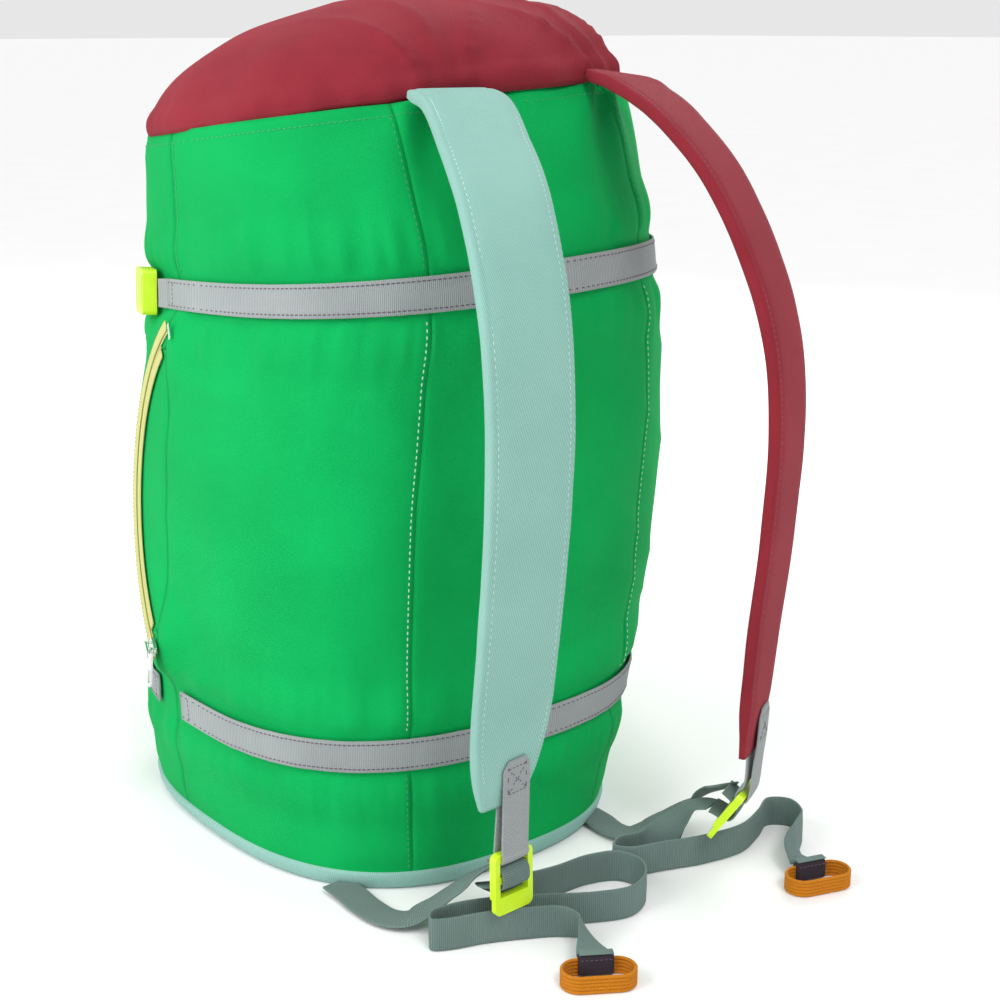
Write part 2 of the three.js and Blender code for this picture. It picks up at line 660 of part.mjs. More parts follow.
// Pull at the end of each tail: a flat band closed into an oval, and the sleeve that folds over it.
const loopWide = 44;
const loopDeep = 22;
const loopTall = 11;
const loopThick = 2;
const sleeveWide = webWidth + 0.5;
const sleeveThick = 1.4;

// The oval, clockwise from the middle of its back, share 0 to 1.
function oval(share, inset) {
  const radius = loopDeep / 2 - inset;
  const straight = loopWide - loopDeep;
  const outline = new THREE.Path();
  outline.moveTo(0, radius);
  outline.lineTo(straight / 2, radius);
  outline.absarc(straight / 2, 0, radius, Math.PI / 2, -Math.PI / 2, true);
  outline.lineTo(-straight / 2, -radius);
  outline.absarc(-straight / 2, 0, radius, -Math.PI / 2, Math.PI / 2, true);
  outline.lineTo(0, radius);
  return outline.getPoint(share);
}

function tailEnd(side, x, y, heading) {
  const frame = new THREE.Group();
  frame.position.set(x, y, 0.3);
  frame.rotation.z = rad(heading);
  object.add(frame);
  const back = sleeveThick + gap;
  const ring = (inset) => (i, j) => {
    const p = oval(i, inset);
    return V(p.x, p.y - loopDeep / 2 - back, loopTall * j);
  };
  const sides = 40;
  add(`${side}_pull_loop`, sheet(ring(0), ring(loopThick), sides, 1, true), look(orange, 0.6), frame);
  const deep = loopThick + 2 * back;
  const top = loopTall + back;
  const fold = new THREE.Shape();
  fold.moveTo(0, 1);
  fold.lineTo(0, top);
  fold.lineTo(-deep, top);
  fold.lineTo(-deep, 1);
  fold.lineTo(sleeveThick - deep, 1);
  fold.lineTo(sleeveThick - deep, top - sleeveThick);
  fold.lineTo(-sleeveThick, top - sleeveThick);
  fold.lineTo(-sleeveThick, 1);
  fold.closePath();
  const sleeve = new THREE.ExtrudeGeometry(fold, { depth: sleeveWide, bevelEnabled: false });
  sleeve.translate(0, 0, -sleeveWide / 2).rotateX(Math.PI / 2).rotateZ(Math.PI / 2);
  add(`${side}_end_sleeve`, sleeve, look(0x2b3036), frame);
}
tailEnd('left', -48.5, -289, -32);
tailEnd('right', 130.4, -288.8, -18);

export default object;
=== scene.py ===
import json
import math

import bpy
import numpy as np
from mathutils import Matrix, Vector
from mathutils.noise import noise
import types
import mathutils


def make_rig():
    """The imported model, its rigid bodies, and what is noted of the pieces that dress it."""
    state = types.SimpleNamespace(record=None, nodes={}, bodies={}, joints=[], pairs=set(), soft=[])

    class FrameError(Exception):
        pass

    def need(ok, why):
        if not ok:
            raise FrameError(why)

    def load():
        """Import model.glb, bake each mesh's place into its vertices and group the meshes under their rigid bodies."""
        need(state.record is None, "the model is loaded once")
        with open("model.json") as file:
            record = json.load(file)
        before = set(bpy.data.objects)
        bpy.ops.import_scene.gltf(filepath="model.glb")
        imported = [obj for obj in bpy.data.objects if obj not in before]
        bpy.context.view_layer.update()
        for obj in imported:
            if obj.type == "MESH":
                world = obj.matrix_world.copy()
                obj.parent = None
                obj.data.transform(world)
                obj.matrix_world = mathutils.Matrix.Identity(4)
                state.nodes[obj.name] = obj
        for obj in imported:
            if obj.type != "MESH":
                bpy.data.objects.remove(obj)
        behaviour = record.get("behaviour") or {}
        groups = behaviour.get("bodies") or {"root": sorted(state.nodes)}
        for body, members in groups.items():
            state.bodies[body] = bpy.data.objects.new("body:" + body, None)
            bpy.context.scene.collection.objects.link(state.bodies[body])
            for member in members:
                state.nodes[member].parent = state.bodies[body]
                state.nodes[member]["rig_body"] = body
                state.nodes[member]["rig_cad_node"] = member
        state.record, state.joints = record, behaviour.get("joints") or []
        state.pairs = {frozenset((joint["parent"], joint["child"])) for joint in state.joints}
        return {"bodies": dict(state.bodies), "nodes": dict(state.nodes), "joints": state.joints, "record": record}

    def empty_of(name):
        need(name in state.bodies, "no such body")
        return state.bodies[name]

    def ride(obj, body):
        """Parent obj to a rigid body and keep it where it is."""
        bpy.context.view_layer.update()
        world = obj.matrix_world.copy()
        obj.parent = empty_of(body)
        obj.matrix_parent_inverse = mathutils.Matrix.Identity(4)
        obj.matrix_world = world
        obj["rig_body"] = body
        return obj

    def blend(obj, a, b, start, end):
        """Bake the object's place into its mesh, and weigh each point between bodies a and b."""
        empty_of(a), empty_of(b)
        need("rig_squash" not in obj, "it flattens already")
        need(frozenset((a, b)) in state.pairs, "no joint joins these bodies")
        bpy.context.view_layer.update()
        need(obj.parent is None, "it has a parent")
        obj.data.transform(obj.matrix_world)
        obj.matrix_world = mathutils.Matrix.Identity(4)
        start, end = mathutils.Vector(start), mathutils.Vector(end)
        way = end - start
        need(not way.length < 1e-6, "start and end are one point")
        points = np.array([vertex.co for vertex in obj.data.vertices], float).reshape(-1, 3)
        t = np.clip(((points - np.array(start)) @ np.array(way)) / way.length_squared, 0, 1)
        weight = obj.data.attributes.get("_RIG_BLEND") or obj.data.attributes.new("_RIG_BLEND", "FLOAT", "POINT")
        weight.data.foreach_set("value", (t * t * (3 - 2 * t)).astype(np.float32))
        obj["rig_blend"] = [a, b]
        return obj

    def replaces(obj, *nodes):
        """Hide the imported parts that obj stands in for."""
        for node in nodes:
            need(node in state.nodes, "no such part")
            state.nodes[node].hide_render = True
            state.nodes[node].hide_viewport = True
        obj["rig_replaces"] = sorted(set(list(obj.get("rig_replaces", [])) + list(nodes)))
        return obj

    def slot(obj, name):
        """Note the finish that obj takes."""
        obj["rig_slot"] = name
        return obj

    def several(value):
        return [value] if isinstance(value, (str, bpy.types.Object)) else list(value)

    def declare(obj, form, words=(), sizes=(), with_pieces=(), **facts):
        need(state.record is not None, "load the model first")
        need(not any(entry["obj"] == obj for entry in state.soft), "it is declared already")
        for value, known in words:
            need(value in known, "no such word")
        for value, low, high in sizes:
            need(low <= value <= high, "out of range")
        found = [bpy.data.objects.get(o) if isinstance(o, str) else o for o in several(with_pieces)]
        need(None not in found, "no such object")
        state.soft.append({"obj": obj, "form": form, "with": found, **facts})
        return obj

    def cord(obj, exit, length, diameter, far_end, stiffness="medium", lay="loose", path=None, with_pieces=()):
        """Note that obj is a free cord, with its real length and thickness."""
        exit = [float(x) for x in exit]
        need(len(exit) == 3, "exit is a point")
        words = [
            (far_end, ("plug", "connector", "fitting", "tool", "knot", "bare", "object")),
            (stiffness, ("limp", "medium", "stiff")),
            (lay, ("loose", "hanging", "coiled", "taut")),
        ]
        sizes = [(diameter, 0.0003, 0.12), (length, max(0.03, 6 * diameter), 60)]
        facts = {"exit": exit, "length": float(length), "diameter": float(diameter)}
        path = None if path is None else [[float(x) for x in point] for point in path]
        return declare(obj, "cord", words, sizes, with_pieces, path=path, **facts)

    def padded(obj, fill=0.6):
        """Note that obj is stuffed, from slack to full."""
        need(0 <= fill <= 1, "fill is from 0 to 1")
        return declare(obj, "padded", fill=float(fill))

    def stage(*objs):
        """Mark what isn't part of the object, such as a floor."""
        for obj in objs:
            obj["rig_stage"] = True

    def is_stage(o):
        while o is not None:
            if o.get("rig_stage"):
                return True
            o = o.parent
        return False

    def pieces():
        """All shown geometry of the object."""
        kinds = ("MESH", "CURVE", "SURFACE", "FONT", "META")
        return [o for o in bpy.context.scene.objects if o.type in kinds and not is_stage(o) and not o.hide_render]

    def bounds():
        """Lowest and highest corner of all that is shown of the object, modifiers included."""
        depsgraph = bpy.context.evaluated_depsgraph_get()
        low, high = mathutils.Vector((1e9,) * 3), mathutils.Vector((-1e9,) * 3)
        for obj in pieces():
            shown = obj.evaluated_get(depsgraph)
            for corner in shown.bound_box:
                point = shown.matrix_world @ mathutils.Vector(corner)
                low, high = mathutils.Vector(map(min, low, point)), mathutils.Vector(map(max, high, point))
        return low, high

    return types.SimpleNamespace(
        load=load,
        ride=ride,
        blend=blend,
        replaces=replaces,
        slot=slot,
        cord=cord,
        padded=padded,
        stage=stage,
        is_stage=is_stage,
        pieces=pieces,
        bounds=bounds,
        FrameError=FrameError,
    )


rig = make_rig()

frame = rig.load()
cad_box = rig.bounds()
joints = {j["name"]: j for j in frame["joints"]}
MM = 0.001
show = bpy.context.scene.collection.objects.link

# ---- Camera ----
camera = bpy.data.objects.new("camera", bpy.data.cameras.new("camera"))
camera.location = (-0.6296, -0.9294, 0.5182)
camera.rotation_euler = (math.radians(74.45), 0, math.radians(-38.66))
camera.data.lens = 61.58
camera.data.clip_start = 0.01
show(camera)
bpy.context.scene.camera = camera

# ---- Sizes shared with the CAD model, in metres ----
SEAM = 0.466  # base to the lid seam
LID_RISE = 0.069
WEB = 0.020  # width of all the webbing
WEB_THICK = 0.0016
PAD_WIDTH = 0.056
PAD_THICK = 0.009
LOWER_BAND = 0.19  # levels, as shares of the seam's height
UPPER_BAND = 0.777
BAND_LIFT = 0.002
BASE_THICK = 0.007
BASE_EDGE = 0.0122  # how far the base's fabric is turned up over the panels
FULL_TURN = 360
MOUTH = 174  # body angle of the side seam that the zip's ends meet
BACK_LEFT = 243  # body angles of the other three seams
BACK_RIGHT = 297
FRONT_RIGHT = 370
SEAM_ANGLES = (MOUTH, BACK_LEFT, BACK_RIGHT, FRONT_RIGHT)
ROUNDNESS = 2.6  # power of the body's rounded section
LEAN = 0.030  # how far the body's middle leans to the right, at most
LEAN_WAVE = 0.777  # share of half a sine wave that the lean follows
TILT_X = 0.057  # slopes of the lid seam's plane
TILT_Y = -0.118
STATIONS = [  # (level, half the width, half the depth)
    (0, 0.132, 0.160), (0.1, 0.144, 0.158), (0.19, 0.151, 0.154), (0.35, 0.163, 0.154), (0.5, 0.167, 0.155),
    (0.65, 0.160, 0.158), (0.777, 0.148, 0.158), (0.88, 0.149, 0.150), (1, 0.145, 0.130),
]

# ---- Stitches and zip teeth: (thread's radius, length) in metres ----
BAND_STITCH = (0.00042, 0.0023)
SEAM_STITCH = (0.00040, 0.0022)
PAD_STITCH = (0.00036, 0.0021)
TAPE_STITCH = (0.00034, 0.0020)
TAB_STITCH = (0.0003, 0.0018)
SLEEVE_STITCH = (0.0003, 0.0017)
BARTACK_STITCH = (0.00045, 0.0030)
TOOTH = (0.00055, 0.0017)


# ---- Node materials ----
class Shader:
    """A material whose nodes are added one call at a time."""

    def __init__(self, name, **principled):
        self.material = bpy.data.materials.new(name)
        self.material.use_nodes = True
        self.tree = self.material.node_tree
        self.out = self.tree.nodes["Principled BSDF"]
        for socket, value in principled.items():
            self.out.inputs[socket.replace("_", " ")].default_value = value

    def node(self, kind, inputs=(), **settings):
        made = self.tree.nodes.new(kind)
        for key, value in settings.items():
            setattr(made, key, value)
        for socket, value in dict(inputs).items():
            if isinstance(value, bpy.types.NodeSocket):
                self.tree.links.new(value, made.inputs[socket])
            else:
                made.inputs[socket].default_value = value
        return made

    def math(self, operation, a, b=0.0):
        return self.node("ShaderNodeMath", {0: a, 1: b}, operation=operation).outputs[0]

    def times(self, a, b):
        return self.math("MULTIPLY", a, b)

    def plus(self, a, b):
        return self.math("ADD", a, b)

    def noise(self, vector, scale, detail=2.0):
        made = self.node("ShaderNodeTexNoise", {"Vector": vector, "Scale": scale, "Detail": detail})
        return made.outputs["Fac"]

    def wave(self, value, pitch):
        turns = self.times(value, 2 * math.pi / pitch)
        return self.math("SINE", turns)

    def mix(self, share, low, high):
        """Colours from low to high as share goes from 0 to 1."""
        ramp = self.node("ShaderNodeValToRGB", {"Fac": share})
        ramp.color_ramp.elements[0].color = (*low, 1)
        ramp.color_ramp.elements[1].color = (*high, 1)
        return ramp.outputs["Color"]

    def link(self, socket, value):
        self.tree.links.new(value, self.out.inputs[socket])

    def bump(self, height, distance, strength=1.0):
        made = self.node("ShaderNodeBump", {"Height": height, "Distance": distance, "Strength": strength})
        self.link("Normal", made.outputs["Normal"])


def cloth_coordinates(shader):
    """(vector, across, along) in metres on the cloth itself, from the mesh's own attribute."""
    vector = shader.node("ShaderNodeAttribute", attribute_name="cloth").outputs["Vector"]
    split = shader.node("ShaderNodeSeparateXYZ", {0: vector})
    return vector, split.outputs["X"], split.outputs["Y"]


def woven(name, dark, light, pitch, weave="plain", depth=0.00022, patch=0.35, sheen=0.2, gap_shade_amount=0.12):
    """Woven cloth: threads in relief, painted shade darkening the gaps between them, and slow changes of tone."""
    shader = Shader(name, Roughness=0.78, Sheen_Weight=sheen, Sheen_Roughness=0.45)
    shader.out.inputs["Specular IOR Level"].default_value = 0.12
    shader.out.inputs["Sheen Tint"].default_value = (*[min(1, c * 1.3 + 0.2) for c in light], 1)
    vector, across, along = cloth_coordinates(shader)
    if weave == "twill":
        slanted = shader.plus(across, shader.times(along, 0.9))
        threads = shader.times(shader.wave(slanted, pitch), shader.wave(along, pitch * 0.8))
    elif weave == "ribs":
        fine = shader.times(shader.wave(across, pitch * 0.6), 0.3)
        threads = shader.plus(shader.wave(along, pitch), fine)
    else:
        threads = shader.times(shader.wave(across, pitch), shader.wave(along, pitch))
    fibres = shader.noise(vector, 2200.0, 3.0)
    height = shader.plus(shader.times(threads, 0.5), fibres)
    slow = shader.noise(vector, 14.0, 4.0)
    # painted shade: the colour follows the threads' relief, darker in the weave's gaps and lighter on the thread
    # crowns; the fibres and slow patches added next are tone that differs at random
    gap_shade = shader.times(threads, gap_shade_amount)
    tone = shader.plus(gap_shade, shader.times(fibres, 0.35))
    tone = shader.plus(tone, shader.times(slow, patch))
    shader.link("Base Color", shader.mix(tone, dark, light))
    shader.bump(height, depth)
    return shader.material


def moulded(name, dark, light, roughness, grain=900.0, metal=0.0, subsurface=0.0):
    """Moulded or cast surfaces: fine grain, faint mottling and uneven gloss."""
    shader = Shader(name, Metallic=metal, Subsurface_Weight=subsurface, Subsurface_Scale=0.004)
    place = shader.node("ShaderNodeTexCoord").outputs["Object"]
    fine = shader.noise(place, grain, 3.0)
    slow = shader.noise(place, 60.0, 3.0)
    shader.link("Base Color", shader.mix(slow, dark, light))
    shader.link("Roughness", shader.plus(roughness - 0.08, shader.times(fine, 0.16)))
    shader.bump(fine, 0.00008)
    return shader.material


def thread(name, dark, light):
    """Sewing thread: a fine twist in relief."""
    shader = Shader(name, Roughness=0.6, Sheen_Weight=0.2)
    place = shader.node("ShaderNodeTexCoord").outputs["Object"]
    twist = shader.noise(place, 2600.0, 2.0)
    shader.link("Base Color", shader.mix(twist, dark, light))
    shader.bump(twist, 0.0001)
    return shader.material


green = woven("green_nylon", (0.0, 0.23, 0.046), (0.0, 0.62, 0.150), 0.0015, sheen=0.0)
maroon = woven("maroon_nylon", (0.11, 0.007, 0.013), (0.42, 0.036, 0.055), 0.0014, patch=0.5, sheen=0.16)
mint = woven(
    "mint_nylon", (0.16, 0.36, 0.31), (0.47, 0.73, 0.65), 0.0015, weave="twill", patch=0.25, gap_shade_amount=0.26)
grey = woven("grey_webbing", (0.20, 0.22, 0.225), (0.52, 0.56, 0.56), 0.0013, weave="ribs", depth=0.0003)
slate = woven(
    "slate_webbing", (0.055, 0.095, 0.085), (0.30, 0.40, 0.375), 0.0012, weave="ribs", depth=0.0003)
yellow_tape = woven("zip_tape_yellow", (0.45, 0.45, 0.13), (0.82, 0.82, 0.38), 0.0009, weave="ribs")
orange = woven("orange_braid", (0.42, 0.12, 0.004), (0.85, 0.33, 0.02), 0.0010, weave="ribs", depth=0.0003)
binding = woven("dark_binding", (0.018, 0.012, 0.022), (0.085, 0.07, 0.085), 0.0009)
neon = moulded("neon_acetal", (0.46, 0.72, 0.005), (0.62, 0.88, 0.02), 0.36, subsurface=0.08)
silver = moulded("slider_metal", (0.55, 0.55, 0.54), (0.86, 0.85, 0.83), 0.24, grain=1500.0, metal=1.0)
teeth_nylon = moulded("zip_teeth_nylon", (0.48, 0.45, 0.12), (0.72, 0.70, 0.27), 0.42)
dark_thread = thread("dark_thread", (0.05, 0.025, 0.05), (0.16, 0.10, 0.15))
pale_thread = thread("pale_thread", (0.30, 0.62, 0.42), (0.62, 0.88, 0.70))
green_thread = thread("green_thread", (0.0, 0.20, 0.05), (0.01, 0.42, 0.12))
mint_thread = thread("mint_thread", (0.30, 0.50, 0.44), (0.60, 0.80, 0.74))
maroon_thread = thread("maroon_thread", (0.16, 0.02, 0.03), (0.42, 0.07, 0.09))
brown_thread = thread("brown_thread", (0.16, 0.10, 0.04), (0.36, 0.27, 0.12))


# ---- Mesh building ----
def place_piece(name, points, faces, material, body, cloth=None, slot=None):
    """A smooth mesh that rides on body. cloth gives each point's place on its own cloth."""
    mesh = bpy.data.meshes.new(name)
    mesh.from_pydata([tuple(p) for p in points], [], faces)
    mesh.polygons.foreach_set("use_smooth", [True] * len(mesh.polygons))
    if cloth is not None:
        attribute = mesh.attributes.new("cloth", "FLOAT_VECTOR", "POINT")
        attribute.data.foreach_set("vector", np.array(cloth, np.float32).ravel())
    mesh.materials.append(material)
    mesh.update()
    piece = bpy.data.objects.new(name, mesh)
    show(piece)
    if body:
        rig.ride(piece, body)
    if slot:
        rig.slot(piece, slot)
    return piece


def grid_faces(columns, rows):
    wide = columns + 1
    corners = [j * wide + i for j in range(rows) for i in range(columns)]
    return [(a, a + 1, a + wide + 1, a + wide) for a in corners]


def thicken(piece, thickness):
    """Gives a sheet its thickness, inwards."""
    solid = piece.modifiers.new("thickness", "SOLIDIFY")
    solid.thickness = thickness
    solid.offset = -1


def cloth_grid(name, point, cloth, columns, rows, material, body, thickness, slot=None):
    """A thick sheet through point(i, j), with i and j from 0 to 1."""
    shares = [(i / columns, j / rows) for j in range(rows + 1) for i in range(columns + 1)]
    points = [point(i, j) for i, j in shares]
    places = [cloth(i, j) for i, j in shares]
    piece = place_piece(name, points, grid_faces(columns, rows), material, body, places, slot)
    thicken(piece, thickness)
    return piece


def ring_faces(count, size, start=0):
    """Faces between count rings of size points."""
    faces = []
    for first in range(start, start + (count - 1) * size, size):
        for k in range(size):
            n = (k + 1) % size
            faces.append((first + k, first + n, first + size + n, first + size + k))
    return faces


def end_faces(count, size, start=0):
    last = start + (count - 1) * size
    return [tuple(reversed(range(start, start + size))), tuple(range(last, last + size))]


def tube(name, rings, cloth, material, body, slot=None):
    """A closed form through rings of points, with flat ends."""
    count, size = len(rings), len(rings[0])
    points = [p for ring in rings for p in ring]
    places = [p for ring in cloth for p in ring]
    faces = ring_faces(count, size) + end_faces(count, size)
    return place_piece(name, points, faces, material, body, places, slot)


STITCH_SIDES = 6
STITCH_FLAT = 0.8  # a stitch's height over its width
STITCH_RINGS = ((-1.0, 0.35), (-0.6, 0.9), (0.0, 1.0), (0.6, 0.9), (1.0, 0.35))


def stitches(name, marks, material, body, size, slot=None):
    """Many small stitches in one piece. Each mark is a centre, a direction and the cloth's normal."""
    radius, length = size
    points = []
    faces = []
    for centre, along, normal in marks:
        along = Vector(along).normalized()
        side = along.cross(Vector(normal)).normalized()
        up = side.cross(along)
        first = len(points)
        for reach, swell in STITCH_RINGS:
            for k in range(STITCH_SIDES):
                turn = 2 * math.pi * k / STITCH_SIDES
                ring = side * math.cos(turn) + up * (math.sin(turn) * STITCH_FLAT)
                points.append(Vector(centre) + along * (reach * length / 2) + ring * (radius * swell))
        faces += ring_faces(len(STITCH_RINGS), STITCH_SIDES, first)
        faces += end_faces(len(STITCH_RINGS), STITCH_SIDES, first)
    return place_piece(name, points, faces, material, body, None, slot)


def marks_along(point, normal, length, pitch=0.0034):
    """Stitch marks evenly along the line point(share)."""
    count = max(2, round(length / pitch))
    found = []
    for k in range(count):
        share = (k + 0.5) / count
        step = 0.25 / count
        along = Vector(point(share + step)) - Vector(point(share - step))
        found.append((point(share), along, normal(share)))
    return found


# ---- The body's surface ----
def through(level, column):
    """A smooth value through the stations at this level, as the CAD model has it."""
    k = 0
    while k < len(STATIONS) - 2 and level > STATIONS[k + 1][0]:
        k += 1

    def slope(m):
        a = STATIONS[max(m - 1, 0)]
        b = STATIONS[min(m + 1, len(STATIONS) - 1)]
        return (b[column] - a[column]) / (b[0] - a[0])

    span = STATIONS[k + 1][0] - STATIONS[k][0]
    t = (level - STATIONS[k][0]) / span
    start, end = STATIONS[k][column], STATIONS[k + 1][column]
    value = start + (end - start) * t * t * (3 - 2 * t)
    value += t * (1 - t) * (1 - t) * span * slope(k)
    return value - t * t * (1 - t) * span * slope(k + 1)


def rounded(value):
    return math.copysign(abs(value) ** (2 / ROUNDNESS), value)


def lean_at(level):
    return LEAN * math.sin(math.pi * LEAN_WAVE * level)


def tilt_at(x, y, level):
    """How much higher a point lies than on a bag with a level lid seam."""
    return level * level * (TILT_X * x + TILT_Y * y)


def on_body(angle, level, inset=0.0):
    turn = math.radians(angle)
    x = (through(level, 1) - inset) * rounded(math.cos(turn))
    y = (through(level, 2) - inset) * rounded(math.sin(turn))
    return Vector((x + lean_at(level), y, SEAM * level + tilt_at(x, y, level)))


def outward(angle, level):
    along = on_body(angle + 0.5, level) - on_body(angle - 0.5, level)
    up = on_body(angle, level + 0.005) - on_body(angle, level - 0.005)
    return along.cross(up).normalized()


def angle_at(y, level):
    share = min(max(y / through(level, 2), 0), 1)
    return 180 - math.degrees(math.asin(share ** (ROUNDNESS / 2)))


# ---- The zip's plane ----
zip_hinge = joints["slider_runs"]
zip_centre = Vector(zip_hinge["pos_m"])
zip_in = Vector(zip_hinge["axis"])  # into the bag
zip_up = Vector((0, 0, 1)) - zip_in * zip_in.z
zip_up.normalize()
zip_front = zip_up.cross(zip_in).normalized()
ZIP_RADIUS = 0.45 * (UPPER_BAND - LOWER_BAND) * SEAM
ZIP_SWEEP = 56  # degrees from the zip's middle to its end
TAPE_NEAR = 0.0019  # from the zip's middle line to a tape's two edges
TAPE_FAR = 0.0085
TAPE_SEAM = 0.0062  # and to the stitches along the tape
TOPSTITCH = 0.0105  # and to the stitches in the cloth beside it
TEETH_OUT = 0.00098  # and to the middle of a row of teeth
TEETH_PITCH = 0.0014
zip_top = min((v.co - zip_centre).dot(zip_in) for v in frame["nodes"]["front_zip_tape"].data.vertices)
ZIP_LIFT = -zip_top - 0.0008  # the tapes' underside over the plane


def on_zip(radius, sweep, height=0.0):
    turn = math.radians(sweep)
    flat = zip_front * (radius * math.cos(turn)) + zip_up * (radius * math.sin(turn))
    return zip_centre + flat - zip_in * height


def to_zip(p):
    """(radius, sweep, height) of a point about the zip's centre."""
    d = p - zip_centre
    forward, up = d.dot(zip_front), d.dot(zip_up)
    return math.hypot(forward, up), math.degrees(math.atan2(up, forward)), -d.dot(zip_in)


def zip_on_body(sweep, radius):
    p = on_zip(radius, sweep)
    level = p.z / SEAM
    angle = MOUTH
    for _ in range(12):
        angle = angle_at(p.y, level)
        level += (p.z - on_body(angle, level).z) / SEAM
    return angle, level


def near(distance, reach):
    """1 at no distance, falling smoothly to 0 at reach."""
    t = min(abs(distance) / reach, 1)
    return (1 - t * t) ** 2


def waves(x, y, z):
    """Smooth noise, the same each run."""
    return noise(Vector((x, y, z)))


def crease(seed, x, y, z, scale):
    return waves(x * scale + seed, y * scale, z * scale)


strap_roots = [Vector(joints[f"{side}_strap_swings"]["pos_m"]) for side in ("left", "right")]


# ---- The stuffed cloth. Heights and reaches are in metres ----
BANDS = (LOWER_BAND, UPPER_BAND)
PINCH, PINCH_REACH = 0.0012, 0.017  # at each band's middle
SHOULDER, SHOULDER_OFF, SHOULDER_REACH = 0.0036, 0.026, 0.024
GATHER_FOLD, GATHER_FINE = 0.0026, 0.0013  # folds beside a band
GATHER_OFF, GATHER_REACH = 0.012, 0.055
SLOW_WAVE, FINE_WAVE, SLANT_CREASE = 0.0030, 0.0012, 0.0014
FAN_FOLD, FAN_REACH, FAN_FADE = 0.0035, 0.14, 0.06  # folds round a strap's root
SEAM_DIP, SEAM_DIP_ANGLE = 0.0007, 1.8
RIM_DIP, RIM_DIP_REACH = 0.0010, 0.008
HELD_UNDER_BAND, BAND_FADE = 0.0005, 0.010
HELD_UNDER_BASE, BASE_FADE = -0.0004, 0.012


def band_swell(angle, level):
    """Pinched at each band, full beside it and gathered into folds."""
    rise = 0.0
    for band in BANDS:
        away = abs(level - band) * SEAM
        rise += PINCH * near(away, PINCH_REACH) + SHOULDER * near(away - SHOULDER_OFF, SHOULDER_REACH)
        fold = waves(angle * 0.21, band * 9, level * 5)
        fine = waves(angle * 0.62, band * 5 + 3, level * 9)
        gather = near(away - GATHER_OFF, GATHER_REACH)
        rise += gather * (GATHER_FOLD * fold + GATHER_FINE * fine)
    return rise


def cloth_waves(p):
    """Slow and fine waves all over, and slanting creases."""
    rise = SLOW_WAVE * crease(1.7, p.x, p.y, p.z, 9.0)
    rise += FINE_WAVE * crease(5.1, p.x * 1.4, p.y * 1.4, p.z * 0.6, 26.0)
    slant = waves((p.z + 0.7 * p.x) * 17, (p.x - p.y) * 5, 2.2)
    return rise + SLANT_CREASE * (1 - abs(slant)) ** 4 - 0.0005


def root_fan(p):
    """Folds that fan out from where each strap is sewn in."""
    rise = 0.0
    for root in strap_roots:
        spread = p - root
        tension = near(spread.length, FAN_REACH) * math.exp(-spread.length / FAN_FADE)
        fan = math.atan2(spread.x, -spread.z + 0.02)
        rise += FAN_FOLD * tension * math.sin(9 * fan + 1.3)
    return rise


def swell(angle, level, p):
    """How far the stuffed cloth stands off the CAD surface here."""
    rise = band_swell(angle, level) + cloth_waves(p) + root_fan(p)
    for seam in SEAM_ANGLES:
        turn = (angle - seam + FULL_TURN / 2) % FULL_TURN - FULL_TURN / 2
        rise -= SEAM_DIP * near(turn, SEAM_DIP_ANGLE)
    rise -= RIM_DIP * near((level - 1) * SEAM, RIM_DIP_REACH)
    for band in BANDS:
        from_edge = max(abs(level - band) * SEAM - WEB / 2, 0)
        rise += (HELD_UNDER_BAND - rise) * near(from_edge, BAND_FADE)
    from_base = max(level * SEAM - BASE_EDGE, 0)
    return rise + (HELD_UNDER_BASE - rise) * near(from_base, BASE_FADE)


ZIP_ANGLES = (90, 200)  # body angles between which the zip lies
LIFT_WIDE, LIFT_FADE = 0.009, 0.030  # the cloth lifts this far from the zip's line, then fades
LIFT_END = 12  # degrees past the zip's end where the lift has faded
LIFT_OFF_BAND = 0.026


def beside_zip(level, radius, sweep):
    """1 along the zip's line, 0 away from it and at the bands."""
    share = near(max(abs(radius - ZIP_RADIUS) - LIFT_WIDE, 0), LIFT_FADE)
    share *= near(max(abs(sweep) - ZIP_SWEEP, 0), LIFT_END)
    for band in BANDS:
        share *= 1 - near((level - band) * SEAM, LIFT_OFF_BAND)
    return share


def on_skin(angle, level, extra=0.0):
    """A point of the visible cloth. Beside the zip it rises to the zip's tapes."""
    base = on_body(angle, level)
    p = base + outward(angle, level) * (swell(angle, level, base) + extra)
    radius, sweep, height = to_zip(base)
    if ZIP_ANGLES[0] < angle % FULL_TURN < ZIP_ANGLES[1]:
        target = base - zip_in * (ZIP_LIFT - 0.0005 - height + extra)
        p = p.lerp(target, beside_zip(level, radius, sweep))
    return p


ACROSS_PER_DEGREE = 0.0027  # cloth round the body for each degree of body angle


def body_cloth(angle, level):
    return (angle * ACROSS_PER_DEGREE, level * SEAM, 0.0)


WALL = 0.0024  # thickness of the visible cloth
PANEL_ROWS = 128
low_level = (BASE_THICK - 0.001) / SEAM


def panel(name, low, high, columns, body="bag"):
    def corner(i, j):
        level = low_level + (1 - low_level) * j
        start, end = low(level), high(level)
        return start + (end - start) * i, level

    return cloth_grid(
        name, lambda i, j: on_skin(*corner(i, j)), lambda i, j: body_cloth(*corner(i, j)),
        columns, PANEL_ROWS, green, body, WALL, "green_fabric")


FLAP_SWEEP = 50  # degrees from the zip's middle to the flap's end, short of the slider
FLAP_STEPS = 60
FLAP_GAP = 0.12  # degrees between the flap's cloth and the panels
flap_radius = ZIP_RADIUS - 0.003
flap_sweeps = [FLAP_SWEEP * (2 * k / FLAP_STEPS - 1) for k in range(FLAP_STEPS + 1)]
flap_edge = [zip_on_body(sweep, flap_radius) for sweep in flap_sweeps]
flap_levels = [level for _, level in flap_edge]
flap_angles = [min(angle, MOUTH - 0.2) for angle, _ in flap_edge]


def mouth_angle(level):
    """The front panel's edge: the side seam, or the zip where the flap is."""
    if flap_levels[0] < level < flap_levels[-1]:
        return float(np.interp(level, flap_levels, flap_angles))
    return MOUTH


